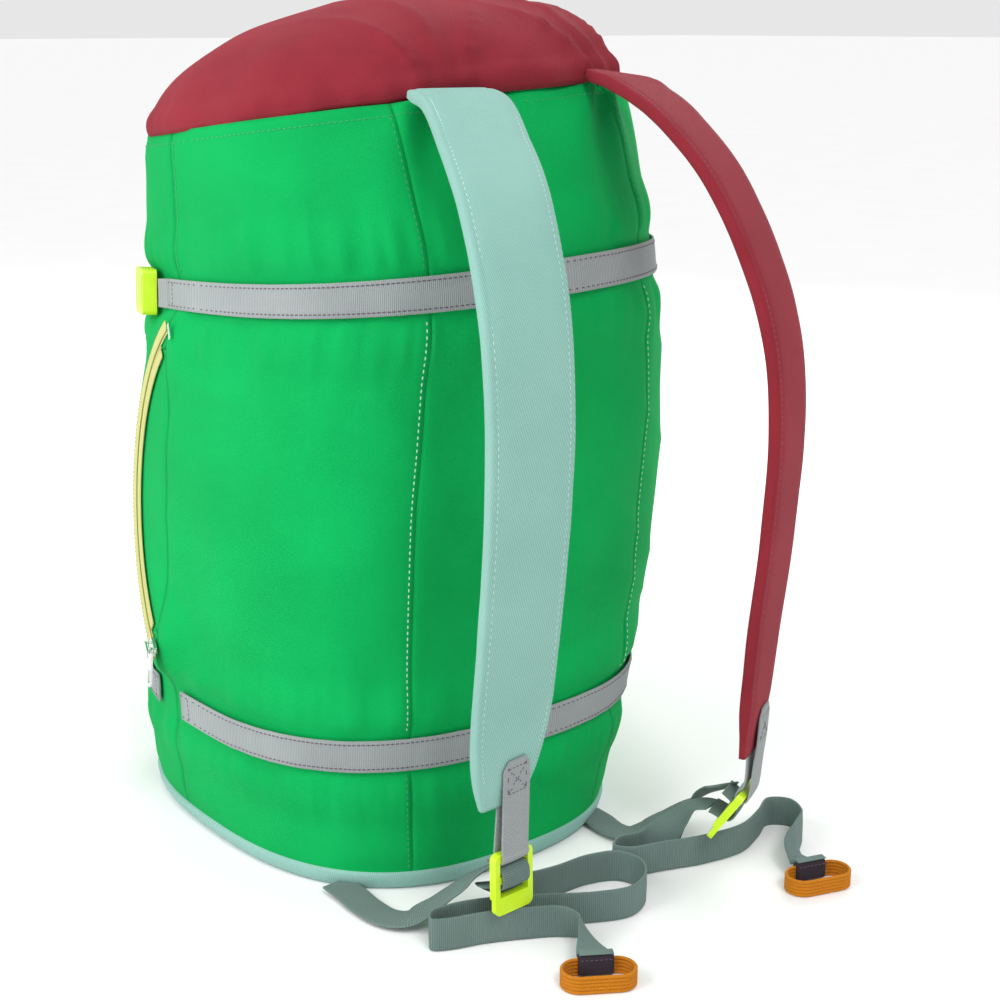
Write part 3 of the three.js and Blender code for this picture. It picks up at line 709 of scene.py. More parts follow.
panels = [
    panel("back_cloth", lambda _: BACK_LEFT, lambda _: BACK_RIGHT, 46),
    panel("left_side_cloth", lambda _: MOUTH, lambda _: BACK_LEFT, 60),
    panel("right_side_cloth", lambda _: BACK_RIGHT, lambda _: FRONT_RIGHT, 62),
    panel("front_cloth", lambda _: FRONT_RIGHT - FULL_TURN, mouth_angle, 130),
]
for piece, node in zip(panels, ("back_panel", "left_side_panel", "right_side_panel", "front_panel")):
    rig.replaces(piece, node)


# ---- The zip's flap, tapes and teeth ----
def flap_corner(i, j):
    level = flap_levels[0] + (flap_levels[-1] - flap_levels[0]) * j
    edge = float(np.interp(level, flap_levels, flap_angles)) + FLAP_GAP
    return edge + (MOUTH - FLAP_GAP - edge) * i, level


flap = cloth_grid(
    "flap_cloth", lambda i, j: on_skin(*flap_corner(i, j)), lambda i, j: body_cloth(*flap_corner(i, j)),
    22, 64, green, "zip_flap", WALL, "green_fabric")
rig.replaces(flap, "zip_flap")


def zip_tape(name, inner, outer, sweep, body, node):
    """Woven tape with a thicker sewn edge, lying in the zip's plane."""
    def at(i, j):
        turn = -sweep + 2 * sweep * j
        edge = 0.0004 * near(i - 0.08, 0.12) + 0.0004 * near(i - 0.92, 0.12)
        return on_zip(inner + (outer - inner) * i, turn, ZIP_LIFT + 0.0007 + edge)

    def cloth(i, j):
        return (i * (outer - inner), j * 2 * math.radians(sweep) * ZIP_RADIUS, 0)

    piece = cloth_grid(name, at, cloth, 8, 90, yellow_tape, body, 0.0007, "zip_tape")
    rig.replaces(piece, node)


END_SWEEP = ZIP_SWEEP + 2
zip_tape("front_tape", ZIP_RADIUS + TAPE_NEAR, ZIP_RADIUS + TAPE_FAR, END_SWEEP, "bag", "front_zip_tape")
zip_tape("flap_tape", ZIP_RADIUS - TAPE_FAR, ZIP_RADIUS - TAPE_NEAR, FLAP_SWEEP, "zip_flap", "flap_zip_tape")


def teeth(name, radius, sweep, shift, body, node):
    """A row of coil teeth, each one lying across the tape."""
    pitch = math.degrees(TEETH_PITCH / ZIP_RADIUS)
    count = int(2 * sweep / pitch)
    marks = []
    for k in range(count):
        turn = -sweep + pitch * (k + shift)
        centre = on_zip(radius, turn, ZIP_LIFT + 0.0005)
        marks.append((centre, on_zip(radius + 0.01, turn) - on_zip(radius, turn), -zip_in))
    piece = stitches(name, marks, teeth_nylon, body, TOOTH, "zip_nylon")
    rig.replaces(piece, node)


teeth("front_teeth", ZIP_RADIUS + TEETH_OUT, END_SWEEP, 0.25, "bag", "front_zip_teeth")
teeth("flap_teeth", ZIP_RADIUS - TEETH_OUT, FLAP_SWEEP, 0.75, "zip_flap", "flap_zip_teeth")


def arc_stitches(name, radius, sweep, body, material):
    length = 2 * math.radians(sweep) * radius
    marks = marks_along(
        lambda s: on_zip(radius, sweep * (2 * s - 1), ZIP_LIFT + 0.0010),
        lambda s: -zip_in, length, 0.0030)
    stitches(name, marks, material, body, TAPE_STITCH)


arc_stitches("front_tape_stitches", ZIP_RADIUS + TAPE_SEAM, ZIP_SWEEP, "bag", brown_thread)
arc_stitches("flap_tape_stitches", ZIP_RADIUS - TAPE_SEAM, FLAP_SWEEP - 1, "zip_flap", brown_thread)
arc_stitches("front_zip_topstitch", ZIP_RADIUS + TOPSTITCH, ZIP_SWEEP, "bag", green_thread)

BAR_COUNT = 14
BAR_WIDTH = 0.010
bar = []
for k in range(BAR_COUNT):
    turn = END_SWEEP + 1.2 + 0.5 * (k % 2)
    reach = ZIP_RADIUS + BAR_WIDTH * ((k + 0.5) / BAR_COUNT - 0.5)
    along = on_zip(reach, turn + 1) - on_zip(reach, turn - 1)
    bar.append((on_zip(reach, turn, ZIP_LIFT + 0.0008), along, -zip_in))
bartack = stitches("zip_bartack", bar, pale_thread, "bag", BARTACK_STITCH, "zip_tape")
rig.replaces(bartack, "zip_end_stop")


# ---- Lid ----
LID_ROWS = 44
LID_COLUMNS = 168
LID_CLIMB = math.radians(89.5)
RIM_REACH = 0.02  # share of the way up where the rim is tucked onto the seam
RIM_ROLL, RIM_TUCK, RIM_GATHER = 0.0022, 0.0016, 0.0028
LID_WAVE, LID_RIPPLE, LID_FOLD = 0.0050, 0.0018, 0.0062
LID_FOLD_FADE, LID_FOLD_REACH = 0.085, 0.30


def lid_folds(p):
    """Sharp folds pulled towards the strap roots."""
    rise = 0.0
    for seed, root in enumerate(strap_roots):
        spread = p - root
        distance = spread.length
        fan = math.atan2(spread.y + 0.02, spread.x)
        pull = math.exp(-distance / LID_FOLD_FADE) * near(distance, LID_FOLD_REACH) * min(distance / 0.02, 1)
        ridge = 1 - abs(math.sin(6.5 * fan + 2.2 * crease(seed * 4.0, p.x, p.y, p.z, 10.0)))
        rise += LID_FOLD * pull * (ridge ** 2 - 0.35)
    return rise


def lid_point(i, j):
    """The dome, i round it and j up it, with its rim rolled over the seam."""
    angle = FULL_TURN * i
    climb = LID_CLIMB * j
    at_rim = near(j, RIM_REACH)
    rim = on_body(angle, 1)
    middle = Vector((lean_at(1), 0, SEAM))
    height = LID_RISE * math.sin(climb) + 0.0006 - RIM_TUCK * at_rim
    p = middle.lerp(rim, math.cos(climb) ** 0.92) + Vector((0, 0, height))
    sideways = Vector(((rim.x - middle.x) * 0.6, (rim.y - middle.y) * 0.6, 0))
    up = sideways.lerp(Vector((0, 0, 0.1)), j).normalized()
    rise = RIM_ROLL * near(j - 0.07, 0.10) - 0.0006 * at_rim
    rise += LID_WAVE * crease(3.3, p.x, p.y, p.z, 7.0) * math.cos(climb * 0.6)
    rise += LID_RIPPLE * crease(8.8, p.x, p.y, p.z * 0.5, 24.0)
    gather = near(j, 0.22) * waves(angle * 0.16, 4.0, j * 2)
    return p + up * (rise + lid_folds(p) + RIM_GATHER * gather * (1 - at_rim))


lid_points = []
for j in range(LID_ROWS + 1):
    lid_points += [lid_point(i / LID_COLUMNS, j / LID_ROWS) for i in range(LID_COLUMNS)]
LID_LENGTH = 0.175  # cloth from the dome's top down to its seam
lid_places = []
for j in range(LID_ROWS + 1):
    for i in range(LID_COLUMNS):
        reach = LID_LENGTH * (1.02 - j / LID_ROWS)
        turn = 2 * math.pi * i / LID_COLUMNS
        lid_places.append((reach * math.cos(turn), reach * math.sin(turn), 0))
lid_faces = ring_faces(LID_ROWS + 1, LID_COLUMNS) + end_faces(LID_ROWS + 1, LID_COLUMNS)[1:]
lid = place_piece("lid_cloth", lid_points, lid_faces, maroon, "bag", lid_places, "maroon_fabric")
thicken(lid, WALL)
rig.replaces(lid, "lid_panel")


# ---- Base ----
base_rings = [  # (inset from the body's surface, height)
    (0.0045, 0.0), (0.0018, 0.0007), (0.0003, 0.0026), (-0.0012, 0.0060), (-0.0016, 0.0105),
    (-0.0006, BASE_EDGE - 0.0004), (0.0012, BASE_EDGE),
]
BASE_SIDES = 144
BASE_RIPPLE = 0.0024  # as a share of the distance from the middle
base_angles = [FULL_TURN * k / BASE_SIDES for k in range(BASE_SIDES)]
rings = []
base_places = []
for inset, z in base_rings:
    ring = []
    for k, angle in enumerate(base_angles):
        p = on_body(angle, z / SEAM, inset)
        grow = 1 + BASE_RIPPLE * waves(k * 0.9, z * 300, 1)
        ring.append(Vector((p.x * grow, p.y * grow, z)))
    rings.append(ring)
    base_places.append([(angle * ACROSS_PER_DEGREE, z, 0) for angle in base_angles])
base = tube("base_cloth", rings, base_places, mint, "bag", "mint_fabric")
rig.replaces(base, "base_panel")


# ---- Webbing sewn round the body ----
WEB_STEPS = 9
SELVEDGE_OUT = 0.35  # a selvedge's bulge and half height, as shares of the thickness
SELVEDGE_HIGH = 0.22


def web_profile(width, thick):
    """A flat webbing section, anticlockwise, with rounded selvedges: (across, off)."""
    half = width / 2
    out, high = half + thick * SELVEDGE_OUT, thick * SELVEDGE_HIGH
    top = []
    for k in range(WEB_STEPS + 1):
        share = k / WEB_STEPS
        top.append((half * (1 - 2 * share), thick / 2 * (1 - 0.12 * math.cos(2 * math.pi * share))))
    bottom = [(-x, -y) for x, y in top]
    return top + [(-out, high), (-out, -high)] + bottom + [(out, -high), (out, high)]


def band_point(angle, level_middle, across, off):
    level = level_middle + across / SEAM
    ripple = 0.0005 * waves(angle * 0.25, level_middle * 7, across * 120)
    return on_body(angle, level) + outward(angle, level) * (off + ripple)


BAND_WIDTH = WEB - 0.0008
BAND_THICK = 0.0015
BAND_MIDDLE = BAND_LIFT + 0.0009
STITCH_ROW = 0.0078  # from a band's middle line to its rows of stitches
STITCH_END = 2.2  # degrees from a band's end to the stitches across it


def band_stitches(name, level, start, end, lift):
    """A row along each edge, and one across each end."""
    marks = []
    length = abs(end - start) * ACROSS_PER_DEGREE
    for across in (-STITCH_ROW, STITCH_ROW):
        marks += marks_along(
            lambda s, a=across: band_point(start + (end - start) * s, level, a, lift),
            lambda s: outward(start + (end - start) * s, level), length)
    inside = math.copysign(STITCH_END, end - start)
    for angle in (start + inside, end - inside):
        marks += marks_along(
            lambda s, a=angle: band_point(a, level, STITCH_ROW * (2 * s - 1), lift),
            lambda s, a=angle: outward(a, level), 2 * STITCH_ROW)
    stitches(name + "_stitches", marks, dark_thread, "bag", BAND_STITCH)


def band(name, level, start, end, node, middle=BAND_MIDDLE):
    profile = web_profile(BAND_WIDTH, BAND_THICK)
    steps = int(abs(end - start) / 1.5)
    rings = []
    places = []
    for k in range(steps + 1):
        angle = start + (end - start) * k / steps
        rings.append([band_point(angle, level, x, middle + y) for x, y in profile])
        places.append([(x, angle * ACROSS_PER_DEGREE, 0) for x, _ in profile])
    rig.replaces(tube(name, rings, places, grey, "bag", "grey_webbing"), node)


for name, level, start, end in (
        ("lower", LOWER_BAND, 177, 526), ("upper", UPPER_BAND, 170, 402)):
    band(f"{name}_webbing_band", level, start, end, f"{name}_band")
    band_stitches(f"{name}_webbing_band", level, start, end, BAND_MIDDLE + BAND_THICK / 2)
band("front_buckle_strap", UPPER_BAND, 145, 43, "front_strap", 0.0048)


def tab_point(i, across, off):
    """The buckle's tab, from under the upper band's end up to the socket."""
    angle = 170.2 - 3.2 * i
    return band_point(angle, UPPER_BAND, across, BAND_LIFT + 0.0010 + 0.0030 * i + off)


tab_profile = web_profile(BAND_WIDTH, 0.0014)
tab_rings = [[tab_point(k / 8, x, y) for x, y in tab_profile] for k in range(9)]
tab_places = [[(x, 0.001 * k, 0) for x, _ in tab_profile] for k in range(9)]
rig.replaces(tube("buckle_tab", tab_rings, tab_places, grey, "bag", "grey_webbing"), "socket_tab")


# ---- Seam stitching on the body ----
BESIDE = 1.2  # degrees from a seam to the stitches beside it
CLEAR = 0.03  # share of the height kept free next to a band
RIM_LEVEL = 0.985
RIM_LENGTH = 0.87


def seam_stitches(name, angle, low, high, material):
    marks = marks_along(
        lambda s: on_skin(angle, low + (high - low) * s, 0.0001),
        lambda s: outward(angle, low + (high - low) * s), (high - low) * SEAM, 0.0038)
    stitches(name, marks, material, "bag", SEAM_STITCH)


above, below = UPPER_BAND - CLEAR, LOWER_BAND + CLEAR
seam_stitches("back_left_seam_stitches", BACK_LEFT - BESIDE, below, above, pale_thread)
seam_stitches("back_right_seam_stitches", BACK_RIGHT + BESIDE, below, above, pale_thread)
for number, (low, high) in enumerate(((CLEAR, LOWER_BAND - CLEAR), (UPPER_BAND + CLEAR, RIM_LEVEL))):
    seam_stitches(f"side_seam_stitches_{number}", MOUTH + BESIDE, low, high, green_thread)
    seam_stitches(f"back_seam_left_stitches_{number}", BACK_LEFT - BESIDE, low, high, green_thread)
    seam_stitches(f"back_seam_right_stitches_{number}", BACK_RIGHT + BESIDE, low, high, green_thread)
rim_marks = marks_along(
    lambda s: on_skin(FULL_TURN * s, RIM_LEVEL, 0.0001),
    lambda s: outward(FULL_TURN * s, RIM_LEVEL), RIM_LENGTH, 0.0040)
stitches("rim_stitches", rim_marks, green_thread, "bag", SEAM_STITCH)


# ---- Routes: straps and webbing ----
def on_route(points, share):
    """A centripetal curve through the points, as the CAD model has it."""
    place = (len(points) - 1) * share
    k = min(max(int(place), 0), len(points) - 2)
    w = place - k
    p1, p2 = points[k], points[k + 1]
    p0 = points[k - 1] if k > 0 else p1 * 2 - p2
    p3 = points[k + 2] if k + 2 < len(points) else p2 * 2 - p1
    d0, d1, d2 = ((b - a).length ** 0.5 for a, b in ((p0, p1), (p1, p2), (p2, p3)))
    m1 = ((p1 - p0) / d0 - (p2 - p0) / (d0 + d1) + (p2 - p1) / d1) * d1
    m2 = ((p2 - p1) / d1 - (p3 - p1) / (d1 + d2) + (p3 - p2) / d2) * d1
    a = 2 * p1 - 2 * p2 + m1 + m2
    b = -3 * p1 + 3 * p2 - 2 * m1 - m2
    return ((a * w + b) * w + m1) * w + p1


def route_frames(points, steps, facing):
    """(place, across, out, length so far) along a route."""
    found = []
    total = 0.0
    before = None
    for k in range(steps + 1):
        share = k / steps
        low, high = max(share - 0.0005, 0), min(share + 0.0005, 1)
        along = (on_route(points, high) - on_route(points, low)).normalized()
        place = on_route(points, share)
        out = along.cross(facing(share, along)).normalized()
        total += (place - before).length if before else 0.0
        before = place
        found.append((place, out.cross(along).normalized(), out, total))
    return found


def millimetres(route):
    return [Vector(p[:3]) * MM for p in route]


def strap_level(x, y, level):
    return (x, y, SEAM / MM * level + tilt_at(x, y, level))


left_pad_route = millimetres([strap_level(*p) for p in (
    (-28, -131, 1), (-31, -150, 0.987), (-43, -182, 0.943), (-62, -225, 0.874), (-73, -254, 0.772),
    (-76, -263, 0.662), (-75, -260, 0.551), (-72, -250, 0.42), (-67, -236, 0.285), (-64, -231, 0.193))])
right_pad_route = millimetres([strap_level(*p) for p in (
    (104, -129, 0.998), (103, -147, 0.984), (102, -180, 0.948), (103, -220, 0.879), (104, -252, 0.789),
    (104, -272, 0.7), (104, -279, 0.603), (104, -276, 0.485), (104, -268, 0.341), (104, -262, 0.187))])


class Lock:
    """A ladder lock's own axes: x along its bars, y towards the bag, z up."""

    def __init__(self, side, face, tip):
        self.joint = joints[f"{side}_lock_tips"]
        self.pivot = Vector(self.joint["pos_m"])
        f, t = math.radians(face), math.radians(tip)
        self.x = Vector((math.cos(f), math.sin(f), 0))
        self.y = Vector((-math.sin(f) * math.cos(t), math.cos(f) * math.cos(t), math.sin(t)))
        self.z = self.x.cross(self.y)

    def at(self, x, y, z):
        return self.pivot + (self.x * x + self.y * y + self.z * z) * MM


locks = {"left": Lock("left", 3, -1), "right": Lock("right", 27, 34)}
STRIP_WIDTH = WEB - 0.0006


def strip(name, frames):
    """Slate webbing through the frames of a route. It rides on no body until it is blended."""
    profile = web_profile(STRIP_WIDTH, WEB_THICK)
    rings = [[place + across * x + out * y for x, y in profile] for place, across, out, _ in frames]
    places = [[(x, length, 0) for x, _ in profile] for *_, length in frames]
    return tube(name, rings, places, slate, None, "slate_webbing")


def ribbon(name, route, steps):
    """Webbing along a route. Each route entry is a point and how far the strip stands up from flat."""
    points = [p for p, _ in route]
    tips = [tip for _, tip in route]

    def facing(share, along):
        place = share * (len(tips) - 1)
        k = min(int(place), len(tips) - 2)
        tip = math.radians(tips[k] + (tips[k + 1] - tips[k]) * (place - k))
        level = Vector((along.y, -along.x, 0)).normalized()
        return level * math.cos(tip) + Vector((0, 0, math.sin(tip)))

    frames = route_frames(points, steps, facing)
    return strip(name, frames), [place for place, *_ in frames], frames[-1][3]


# ---- Free tails: the cords ----
def standing(*points):
    return [(Vector((x, y, 10.8)) * MM, 90) for x, y in points]


def given(*points):
    return [(Vector((x, y, z)) * MM, tip) for x, y, z, tip in points]


tail_routes = {
    "left": [(locks["left"].at(0, 8.5, -24), 0)]
    + given((-63, -214, 30, 0), (-54, -208, 24, 40), (-38, -207, 16, 75))
    + standing((-12, -208), (16, -210), (34, -218), (38, -234), (28, -249), (10, -256), (-12, -248),
               (-38, -231), (-66, -214), (-88, -206), (-102, -206), (-107, -213), (-98, -219), (-78, -226),
               (-56, -237))
    + given((-38, -249, 10.8, 88), (-33, -261, 10.6, 70), (-38, -275, 9.6, 36), (-47.6, -287.4, 9.4, 0)),
    "right": [(locks["right"].at(0.4, 10, -24.2), -6)]
    + given((90.5, -232, 41, 0), (86, -224, 33, 30), (78, -215, 19, 70))
    + standing((66, -208), (48, -204), (38, -210), (44, -219), (64, -226), (92, -236), (122, -240),
               (146, -232), (164, -224), (174, -234), (168, -250))
    + given((150, -262, 10.8, 80), (138, -272, 9.8, 45), (131.6, -286, 9.4, 0)),
}


# ---- Pulls: a ribbed band closed into an oval, and the sleeve folded over it ----
LOOP_WIDE = 0.044
LOOP_DEEP = 0.022
LOOP_TALL = 0.011
LOOP_THICK = 0.002
LOOP_BACK = LOOP_DEEP / 2 + 0.0018  # from the pull's joint to the oval's middle
LOOP_LENGTH = 0.11  # webbing round the oval
LOOP_SIDES = 96
RIBS = 5
RIB_DEEP = 0.0008
RIB_STEPS = RIBS * 6
SLEEVE_HALF = 0.0102  # half widths of the sleeve, its strip and its rows of stitches
STRIP_HALF = 0.0099
ROW_HALF = 0.0095
SLEEVE_STEPS = 14
SLEEVE_SECTION = [  # (y, z) over the folded sleeve's outside, then back inside it
    (0.0001, 0.0010), (0.0002, 0.0070), (0.0, 0.0118), (-0.0009, 0.0131), (-0.0026, 0.0134),
    (-0.0044, 0.0131), (-0.0056, 0.0119), (-0.0057, 0.0070), (-0.0055, 0.0008), (-0.0043, 0.0008),
    (-0.0043, 0.0108), (-0.0037, 0.0117), (-0.0020, 0.0118), (-0.0014, 0.0108), (-0.0013, 0.0010),
]


def oval(share, inset):
    """Round the oval from the middle of its back, as (x, y)."""
    if share >= 0.5:
        x, y = oval(share - 0.5, inset)
        return -x, -y
    radius = LOOP_DEEP / 2 - inset
    straight = LOOP_WIDE - LOOP_DEEP
    bend = math.pi * radius
    length = share * 2 * (straight + bend)
    if length < straight / 2:
        return length, radius
    length -= straight / 2
    if length < bend:
        turn = math.pi / 2 - length / radius
        return straight / 2 + radius * math.cos(turn), radius * math.sin(turn)
    return straight / 2 - (length - bend), -radius


def rib_depth(share):
    return RIB_DEEP * abs(math.sin(math.pi * RIBS * share))


def pull_band(side, world):
    """The ribbed band, ribbed on its outer and its inner face."""
    section = []
    for k in range(RIB_STEPS + 1):
        share = k / RIB_STEPS
        section.append((RIB_DEEP - rib_depth(share), LOOP_TALL * share))
    for k in range(RIB_STEPS + 1):
        share = k / RIB_STEPS
        section.append((LOOP_THICK - RIB_DEEP + rib_depth(share), LOOP_TALL * (1 - share)))
    size = len(section)
    points = []
    places = []
    faces = []
    for side_number in range(LOOP_SIDES):
        share = side_number / LOOP_SIDES
        points += [world(*oval(share, inset), z, LOOP_BACK) for inset, z in section]
        places += [(z, share * LOOP_LENGTH, 0) for _, z in section]
        a, b = side_number * size, ((side_number + 1) % LOOP_SIDES) * size
        faces += [(a + k, b + k, b + (k + 1) % size, a + (k + 1) % size) for k in range(size)]
    body = f"{side}_pull"
    return place_piece(f"{side}_pull_band", points, faces, orange, body, places, "orange_webbing")


def pull_sleeve(side, world):
    rings = []
    cloth = []
    for k in range(SLEEVE_STEPS + 1):
        across = SLEEVE_HALF * (2 * k / SLEEVE_STEPS - 1)
        pinch = 1 - 0.10 * near(abs(across) - SLEEVE_HALF, 0.0015)
        rings.append([world(across, y * pinch, z * pinch + 0.0004) for y, z in SLEEVE_SECTION])
        cloth.append([(across, y + z, 0) for y, z in SLEEVE_SECTION])
    return tube(f"{side}_sleeve", rings, cloth, binding, f"{side}_pull", "dark_binding")


def sleeve_strip(side, world):
    """A narrow strip on top of the sleeve."""
    section = web_profile(0.0052, 0.0006)
    runs = [STRIP_HALF * (k / 5 - 1) for k in range(11)]
    rings = [[world(run, y - 0.0028, z + 0.0140) for y, z in section] for run in runs]
    places = [[(y, run, 0) for y, _ in section] for run in runs]
    tube(f"{side}_sleeve_strip", rings, places, slate, f"{side}_pull", "slate_webbing")


def pull(side, heading):
    origin = Vector((*joints[f"{side}_pull_lifts"]["pos_m"][:2], 0.0003))
    turn = Matrix.Rotation(math.radians(heading), 3, "Z")

    def world(x, y, z, back=0.0):
        return origin + turn @ Vector((x, y - back, z))

    loop = pull_band(side, world)
    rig.replaces(loop, f"{side}_pull_loop")
    sleeve = pull_sleeve(side, world)
    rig.replaces(sleeve, f"{side}_end_sleeve")
    sleeve_strip(side, world)
    marks = []
    for y, z, out in ((-0.0057, 0.0105, -1), (0.0002, 0.0098, 1)):
        marks += marks_along(
            lambda s, y=y, z=z: world(ROW_HALF * (2 * s - 1), y, z),
            lambda s, out=out: turn @ Vector((0, out, 0)), 2 * ROW_HALF, 0.0026)
    stitches(f"{side}_sleeve_stitches", marks, dark_thread, f"{side}_pull", SLEEVE_STITCH)
    return [loop, sleeve]


pulls = {"left": pull("left", -32), "right": pull("right", -18)}

for side, steps in (("left", 260), ("right", 200)):
    tail, path, length = ribbon(f"{side}_tail_webbing", tail_routes[side], steps)
    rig.replaces(tail, f"{side}_tail")
    start = path[0]
    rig.cord(
        tail, exit=start, length=length, diameter=WEB, far_end="fitting", stiffness="limp", lay="loose",
        path=path, with_pieces=pulls[side])
    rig.blend(tail, "bag", f"{side}_strap", (start.x, start.y, 0.0225), (start.x, start.y, start.z - 0.001))


# ---- Lower webbing and the turn through each lock ----
def share_of(lock, points):
    return [(Vector((x * MM, y * MM, share * lock.pivot.z)), 0) for x, y, share in points]


def from_lock(lock, points):
    return [(lock.pivot + Vector(p) * MM, 0) for p in points]


lower_routes = {
    "left": share_of(locks["left"], (
        (-109, -116, 0.07), (-109, -132, 0.06), (-110, -150, 0.05), (-108, -169, 0.05), (-102, -181, 0.09),
        (-91, -188, 0.2)))
    + from_lock(locks["left"], ((-15, 35, -35), (-6, 25, -24))) + [(locks["left"].at(0, 8.0, -8.0), 0)],
    "right": share_of(locks["right"], (
        (77, -140, 0.08), (77, -152, 0.07), (76, -166, 0.05), (78, -178, 0.07), (86, -187, 0.14),
        (100, -193, 0.24)))
    + from_lock(locks["right"], ((8, 59, -35), (11, 47, -23), (3, 28, -9)))
    + [(locks["right"].at(1.6, 13.0, -9.0), -8)],
}
LOWER_STEPS = 120
WRAP_STEPS = 60
for side in ("left", "right"):
    lower, path, _ = ribbon(f"{side}_lower_strap", lower_routes[side], LOWER_STEPS)
    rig.replaces(lower, f"{side}_lower_webbing")
    top = path[-1]
    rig.blend(lower, "bag", f"{side}_strap", (top.x, top.y, 0.012), (top.x, top.y, top.z - 0.008))

WRAP = (  # (y, z) round the lock's bar, in millimetres
    (10.5, -7.2), (6.5, -7.4), (2.0, -7.9), (-1.6, -9.0), (-3.6, -11.0), (-4.3, -13.5),
    (-4.4, -16.5), (-3.6, -19.2), (-1.5, -21.0), (2.0, -22.0), (6.5, -22.9), (9.5, -23.8))
for side in ("left", "right"):
    lock = locks[side]
    path = [lock.at(0, y, z) for y, z in WRAP]
    frames = route_frames(path, WRAP_STEPS, lambda share, along, lock=lock: lock.x)
    wrap = strip(f"{side}_lock_webbing", frames)
    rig.replaces(wrap, f"{side}_lock_wrap")
    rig.blend(wrap, f"{side}_strap", f"{side}_lock", lock.at(0, 9, -15), lock.at(0, 1, -15))


# ---- Shoulder strap pads ----
def strap_frames(route, low, high, steps):
    def facing(share, _):
        face = math.radians(low + (high - low) * share)
        return Vector((math.cos(face), math.sin(face), 0))

    return route_frames(route, steps, facing)


PAD_SECTION = 40  # points round the pad
PAD_STEPS = 190
PAD_FILL = 0.7
PAD_ROW = 0.0042  # from the pad's edge to its row of stitches
ROW_START, ROW_SPAN = 0.03, 0.92  # shares of the pad's length
PAD_WAVE = 0.0007


def pad_edge(share, side):
    """Half the pad's width here, towards one side. The end narrows mostly on its outer side."""
    t = max(0.0, (share - 0.86) / 0.14)
    narrowing = 0.62 * t ** 1.5 if side > 0 else 0.20 * t ** 3
    t = max(0.0, (0.05 - share) / 0.05)
    return PAD_WIDTH / 2 * (1 - narrowing) * (1 - 0.04 * t)


def pad_offset(share, turn):
    """(across, out) of the padded section: flat faces, full rounded edges and a sewn line inside them."""
    c, s = math.cos(turn), math.sin(turn)
    half = pad_edge(share, c)
    across = half * math.copysign(abs(c) ** 0.30, c)
    thick = PAD_THICK * (1 - 0.42 * near(1 - share, 0.05)) * (1 - 0.25 * near(share, 0.03))
    crown = 1 - 0.10 * (across / half) ** 4
    out = thick / 2 * math.copysign(abs(s) ** 0.34, s) * crown
    if abs(s) > 0.3:
        out *= 1 - 0.16 * near(half - abs(across) - 0.0040, 0.0016)
    return across, out


def pad_form(side, frames, material, slot):
    rings = []
    cloth = []
    seed = 7 if side == "left" else 31
    turns = [2 * math.pi * (q + 0.5) / PAD_SECTION for q in range(PAD_SECTION)]
    for k, (place, across, out, length) in enumerate(frames):
        offsets = [pad_offset(k / PAD_STEPS, turn) for turn in turns]
        ring = []
        for x, y in offsets:
            wave = PAD_WAVE * waves(length * 22, x * 30, y * 60 + seed)
            ring.append(place + across * x + out * (y + math.copysign(wave, y)))
        rings.append(ring)
        cloth.append([(x + y * 1.5, length, 0) for x, y in offsets])
    return tube(f"{side}_pad", rings, cloth, material, f"{side}_strap", slot)


def pad_spot(frames, share, edge, face):
    """A place on the pad's row of stitches: edge and face are 1 or -1."""
    k = min(max(share, 0), 1) * PAD_STEPS
    a, b = int(k), min(int(k) + 1, PAD_STEPS)
    place, across, out = (frames[a][n].lerp(frames[b][n], k - a) for n in range(3))
    half = pad_edge(share, edge) - PAD_ROW
    return place + across * half * edge + out * face * PAD_THICK * 0.405


def pad(side, route, low, high, material, slot, sewing):
    frames = strap_frames(route, low, high, PAD_STEPS)
    piece = pad_form(side, frames, material, slot)
    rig.replaces(piece, f"{side}_strap_pad")
    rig.padded(piece, fill=PAD_FILL)
    marks = []
    for edge in (-1, 1):
        for face in (-1, 1):
            marks += marks_along(
                lambda s, e=edge, f=face: pad_spot(frames, ROW_START + ROW_SPAN * s, e, f),
                lambda s, f=face: frames[int((ROW_START + ROW_SPAN * s) * PAD_STEPS)][2] * f,
                frames[-1][3] * ROW_SPAN)
    stitches(f"{side}_pad_stitches", marks, sewing, f"{side}_strap", PAD_STITCH)
    return frames


pad_frames = {
    "left": pad("left", left_pad_route, -8, 3, mint, "mint_fabric", mint_thread),
    "right": pad("right", right_pad_route, 25, 27, maroon, "maroon_fabric", maroon_thread),
}


# ---- Grey tab on each pad's end, round the lock's top bar ----
TAB_RISE = 0.030  # how far up the pad's outer face the tab is sewn
TAB_STEPS = 90
TAB_THICK = 0.0015
TAB_OFF = 0.0012  # from the pad's face to the tab's middle
BOX_LOW, BOX_HIGH, BOX_HALF = 0.004, 0.021, 0.0068  # the sewn box, along the tab and across it


def tab_route(lock, frames):
    """Down the pad's face, round the lock's bar and up behind the pad."""
    end, _, out, length = frames[-1]
    on_pad = [f for f in frames if f[3] > length - TAB_RISE]
    face = [place + out * (PAD_THICK / 2 + TAB_OFF) for place, *_ in on_pad[::6]]
    tip = lock.at(0, -3.4, 2.5)
    rail = [lock.at(0, y, z) for y, z in ((-3.9, -2.0), (-1.5, -5.2), (1.8, -4.6), (3.6, -1.0))]
    back = [lock.at(0, 3.2, 6.0), end + Vector((0, 0, -0.006)), end + Vector((0, 0, 0.004))]
    return face + [face[-1].lerp(tip, 0.4), tip] + rail + back


def tab_form(side, run_frames):
    section = web_profile(BAND_WIDTH, TAB_THICK)
    rings = []
    places = []
    for place, across, away, run in run_frames:
        corner = 1 - 0.35 * near(run, 0.006)
        rings.append([place + across * x * corner + away * y for x, y in section])
        places.append([(x, run, 0) for x, _ in section])
    return tube(f"{side}_tab", rings, places, grey, f"{side}_strap", "slate_webbing")


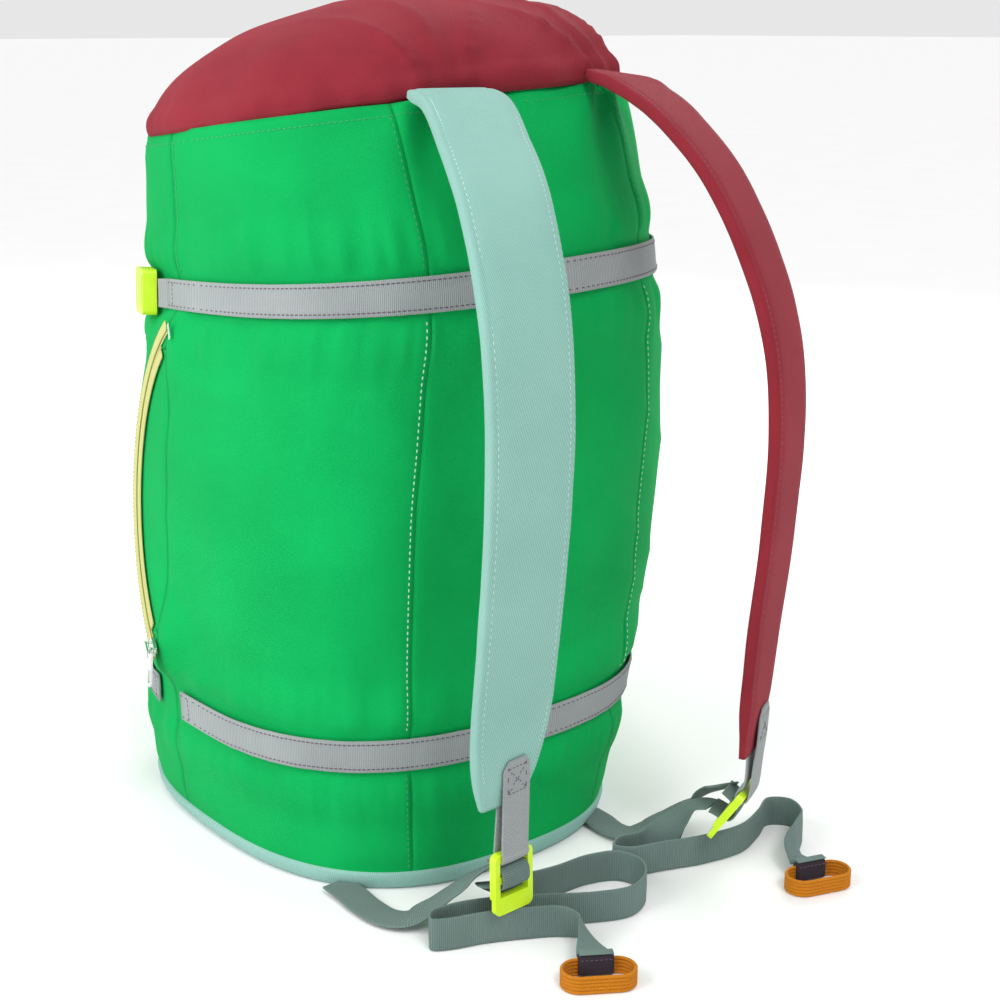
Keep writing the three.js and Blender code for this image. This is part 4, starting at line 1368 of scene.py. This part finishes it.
def box_lines():
    """The sewn box's four sides and its two diagonals, each from one (run, across) to another."""
    corners = [(BOX_LOW, -BOX_HALF), (BOX_LOW, BOX_HALF), (BOX_HIGH, BOX_HALF), (BOX_HIGH, -BOX_HALF)]
    sides = [(corners[k], corners[(k + 1) % 4]) for k in range(4)]
    return sides + [(corners[0], corners[2]), (corners[1], corners[3])]


def tab_stitches(side, run_frames, out):
    outside = 0.0009 if run_frames[4][2].dot(out) > 0 else -0.0009

    def spot(start, end, share):
        run, x = (a + (b - a) * share for a, b in zip(start, end))
        place, across, away, _ = min(run_frames, key=lambda f: abs(f[3] - run))
        return place + across * x + away * outside

    marks = []
    for start, end in box_lines():
        marks += marks_along(
            lambda s, a=start, b=end: spot(a, b, s), lambda s: out, math.dist(start, end), 0.0026)
    stitches(f"{side}_tab_stitches", marks, dark_thread, f"{side}_strap", TAB_STITCH)


for side in ("left", "right"):
    lock = locks[side]
    _, across, out, _ = pad_frames[side][-1]
    path = tab_route(lock, pad_frames[side])
    run_frames = route_frames(
        path, TAB_STEPS, lambda share, along: across.lerp(lock.x, min(share * 1.5, 1)))
    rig.replaces(tab_form(side, run_frames), f"{side}_strap_tab")
    tab_stitches(side, run_frames, out)


# ---- CAD pieces that keep their shape ----
for node, material, slot, edge in (
        ("left_ladder_lock", neon, "neon_plastic", 0.0009),
        ("right_ladder_lock", neon, "neon_plastic", 0.0009),
        ("buckle_socket", neon, "neon_plastic", 0.0006),
        ("buckle_plug", neon, "neon_plastic", 0.0006),
        ("zip_slider", silver, "zip_metal", 0.00025),
        ("zip_pull", silver, "zip_metal", 0.0003)):
    piece = frame["nodes"][node]
    piece.data.materials.clear()
    piece.data.materials.append(material)
    soften = piece.modifiers.new("rounded_edges", "BEVEL")
    soften.width = edge
    soften.segments = 3
    soften.limit_method = "ANGLE"
    soften.angle_limit = math.radians(30)
    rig.slot(piece, slot)


# ---- Floor and light ----
floor_shader = Shader("floor_paper", Roughness=0.9)
floor_place = floor_shader.node("ShaderNodeTexCoord").outputs["Object"]
floor_shader.link("Base Color", floor_shader.mix(
    floor_shader.noise(floor_place, 6.0), (0.86, 0.86, 0.86), (0.90, 0.90, 0.90)))
floor_mesh = bpy.data.meshes.new("floor")
FLOOR = 60.0
floor_mesh.from_pydata(
    [(-FLOOR, -FLOOR, 0), (FLOOR, -FLOOR, 0), (FLOOR, FLOOR, 0), (-FLOOR, FLOOR, 0)], [], [(0, 1, 2, 3)])
floor_mesh.materials.append(floor_shader.material)
floor = bpy.data.objects.new("floor", floor_mesh)
show(floor)
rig.stage(floor)

world = bpy.data.worlds.new("studio")
world.use_nodes = True
world.node_tree.nodes["Background"].inputs["Color"].default_value = (1.0, 1.0, 1.0, 1)
world.node_tree.nodes["Background"].inputs["Strength"].default_value = 0.8
bpy.context.scene.world = world
bpy.context.scene.view_settings.view_transform = "Standard"


def add_light(name, kind, place, power, **settings):
    """A light that faces the bag."""
    light = bpy.data.lights.new(name, kind)
    light.energy = power
    for key, value in settings.items():
        setattr(light, key, value)
    lamp = bpy.data.objects.new(name, light)
    lamp.location = place
    aim = Vector((0.0, -0.05, 0.22)) - lamp.location
    lamp.rotation_euler = aim.to_track_quat("-Z", "Y").to_euler()
    show(lamp)


add_light("sun", "SUN", (-0.3, -1.5, 2.2), 1.1, angle=math.radians(20))
add_light("key", "AREA", (-1.7, 0.1, 1.2), 24, shape="RECTANGLE", size=1.0, size_y=1.4)
add_light("rim", "AREA", (1.6, 0.7, 1.3), 12, shape="RECTANGLE", size=1.0, size_y=1.4)

with open("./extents.json", "w") as size_file:
    json.dump({
        "cad": [list(cad_box[0]), list(cad_box[1])],
        "visual": [list(corner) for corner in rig.bounds()],
    }, size_file)
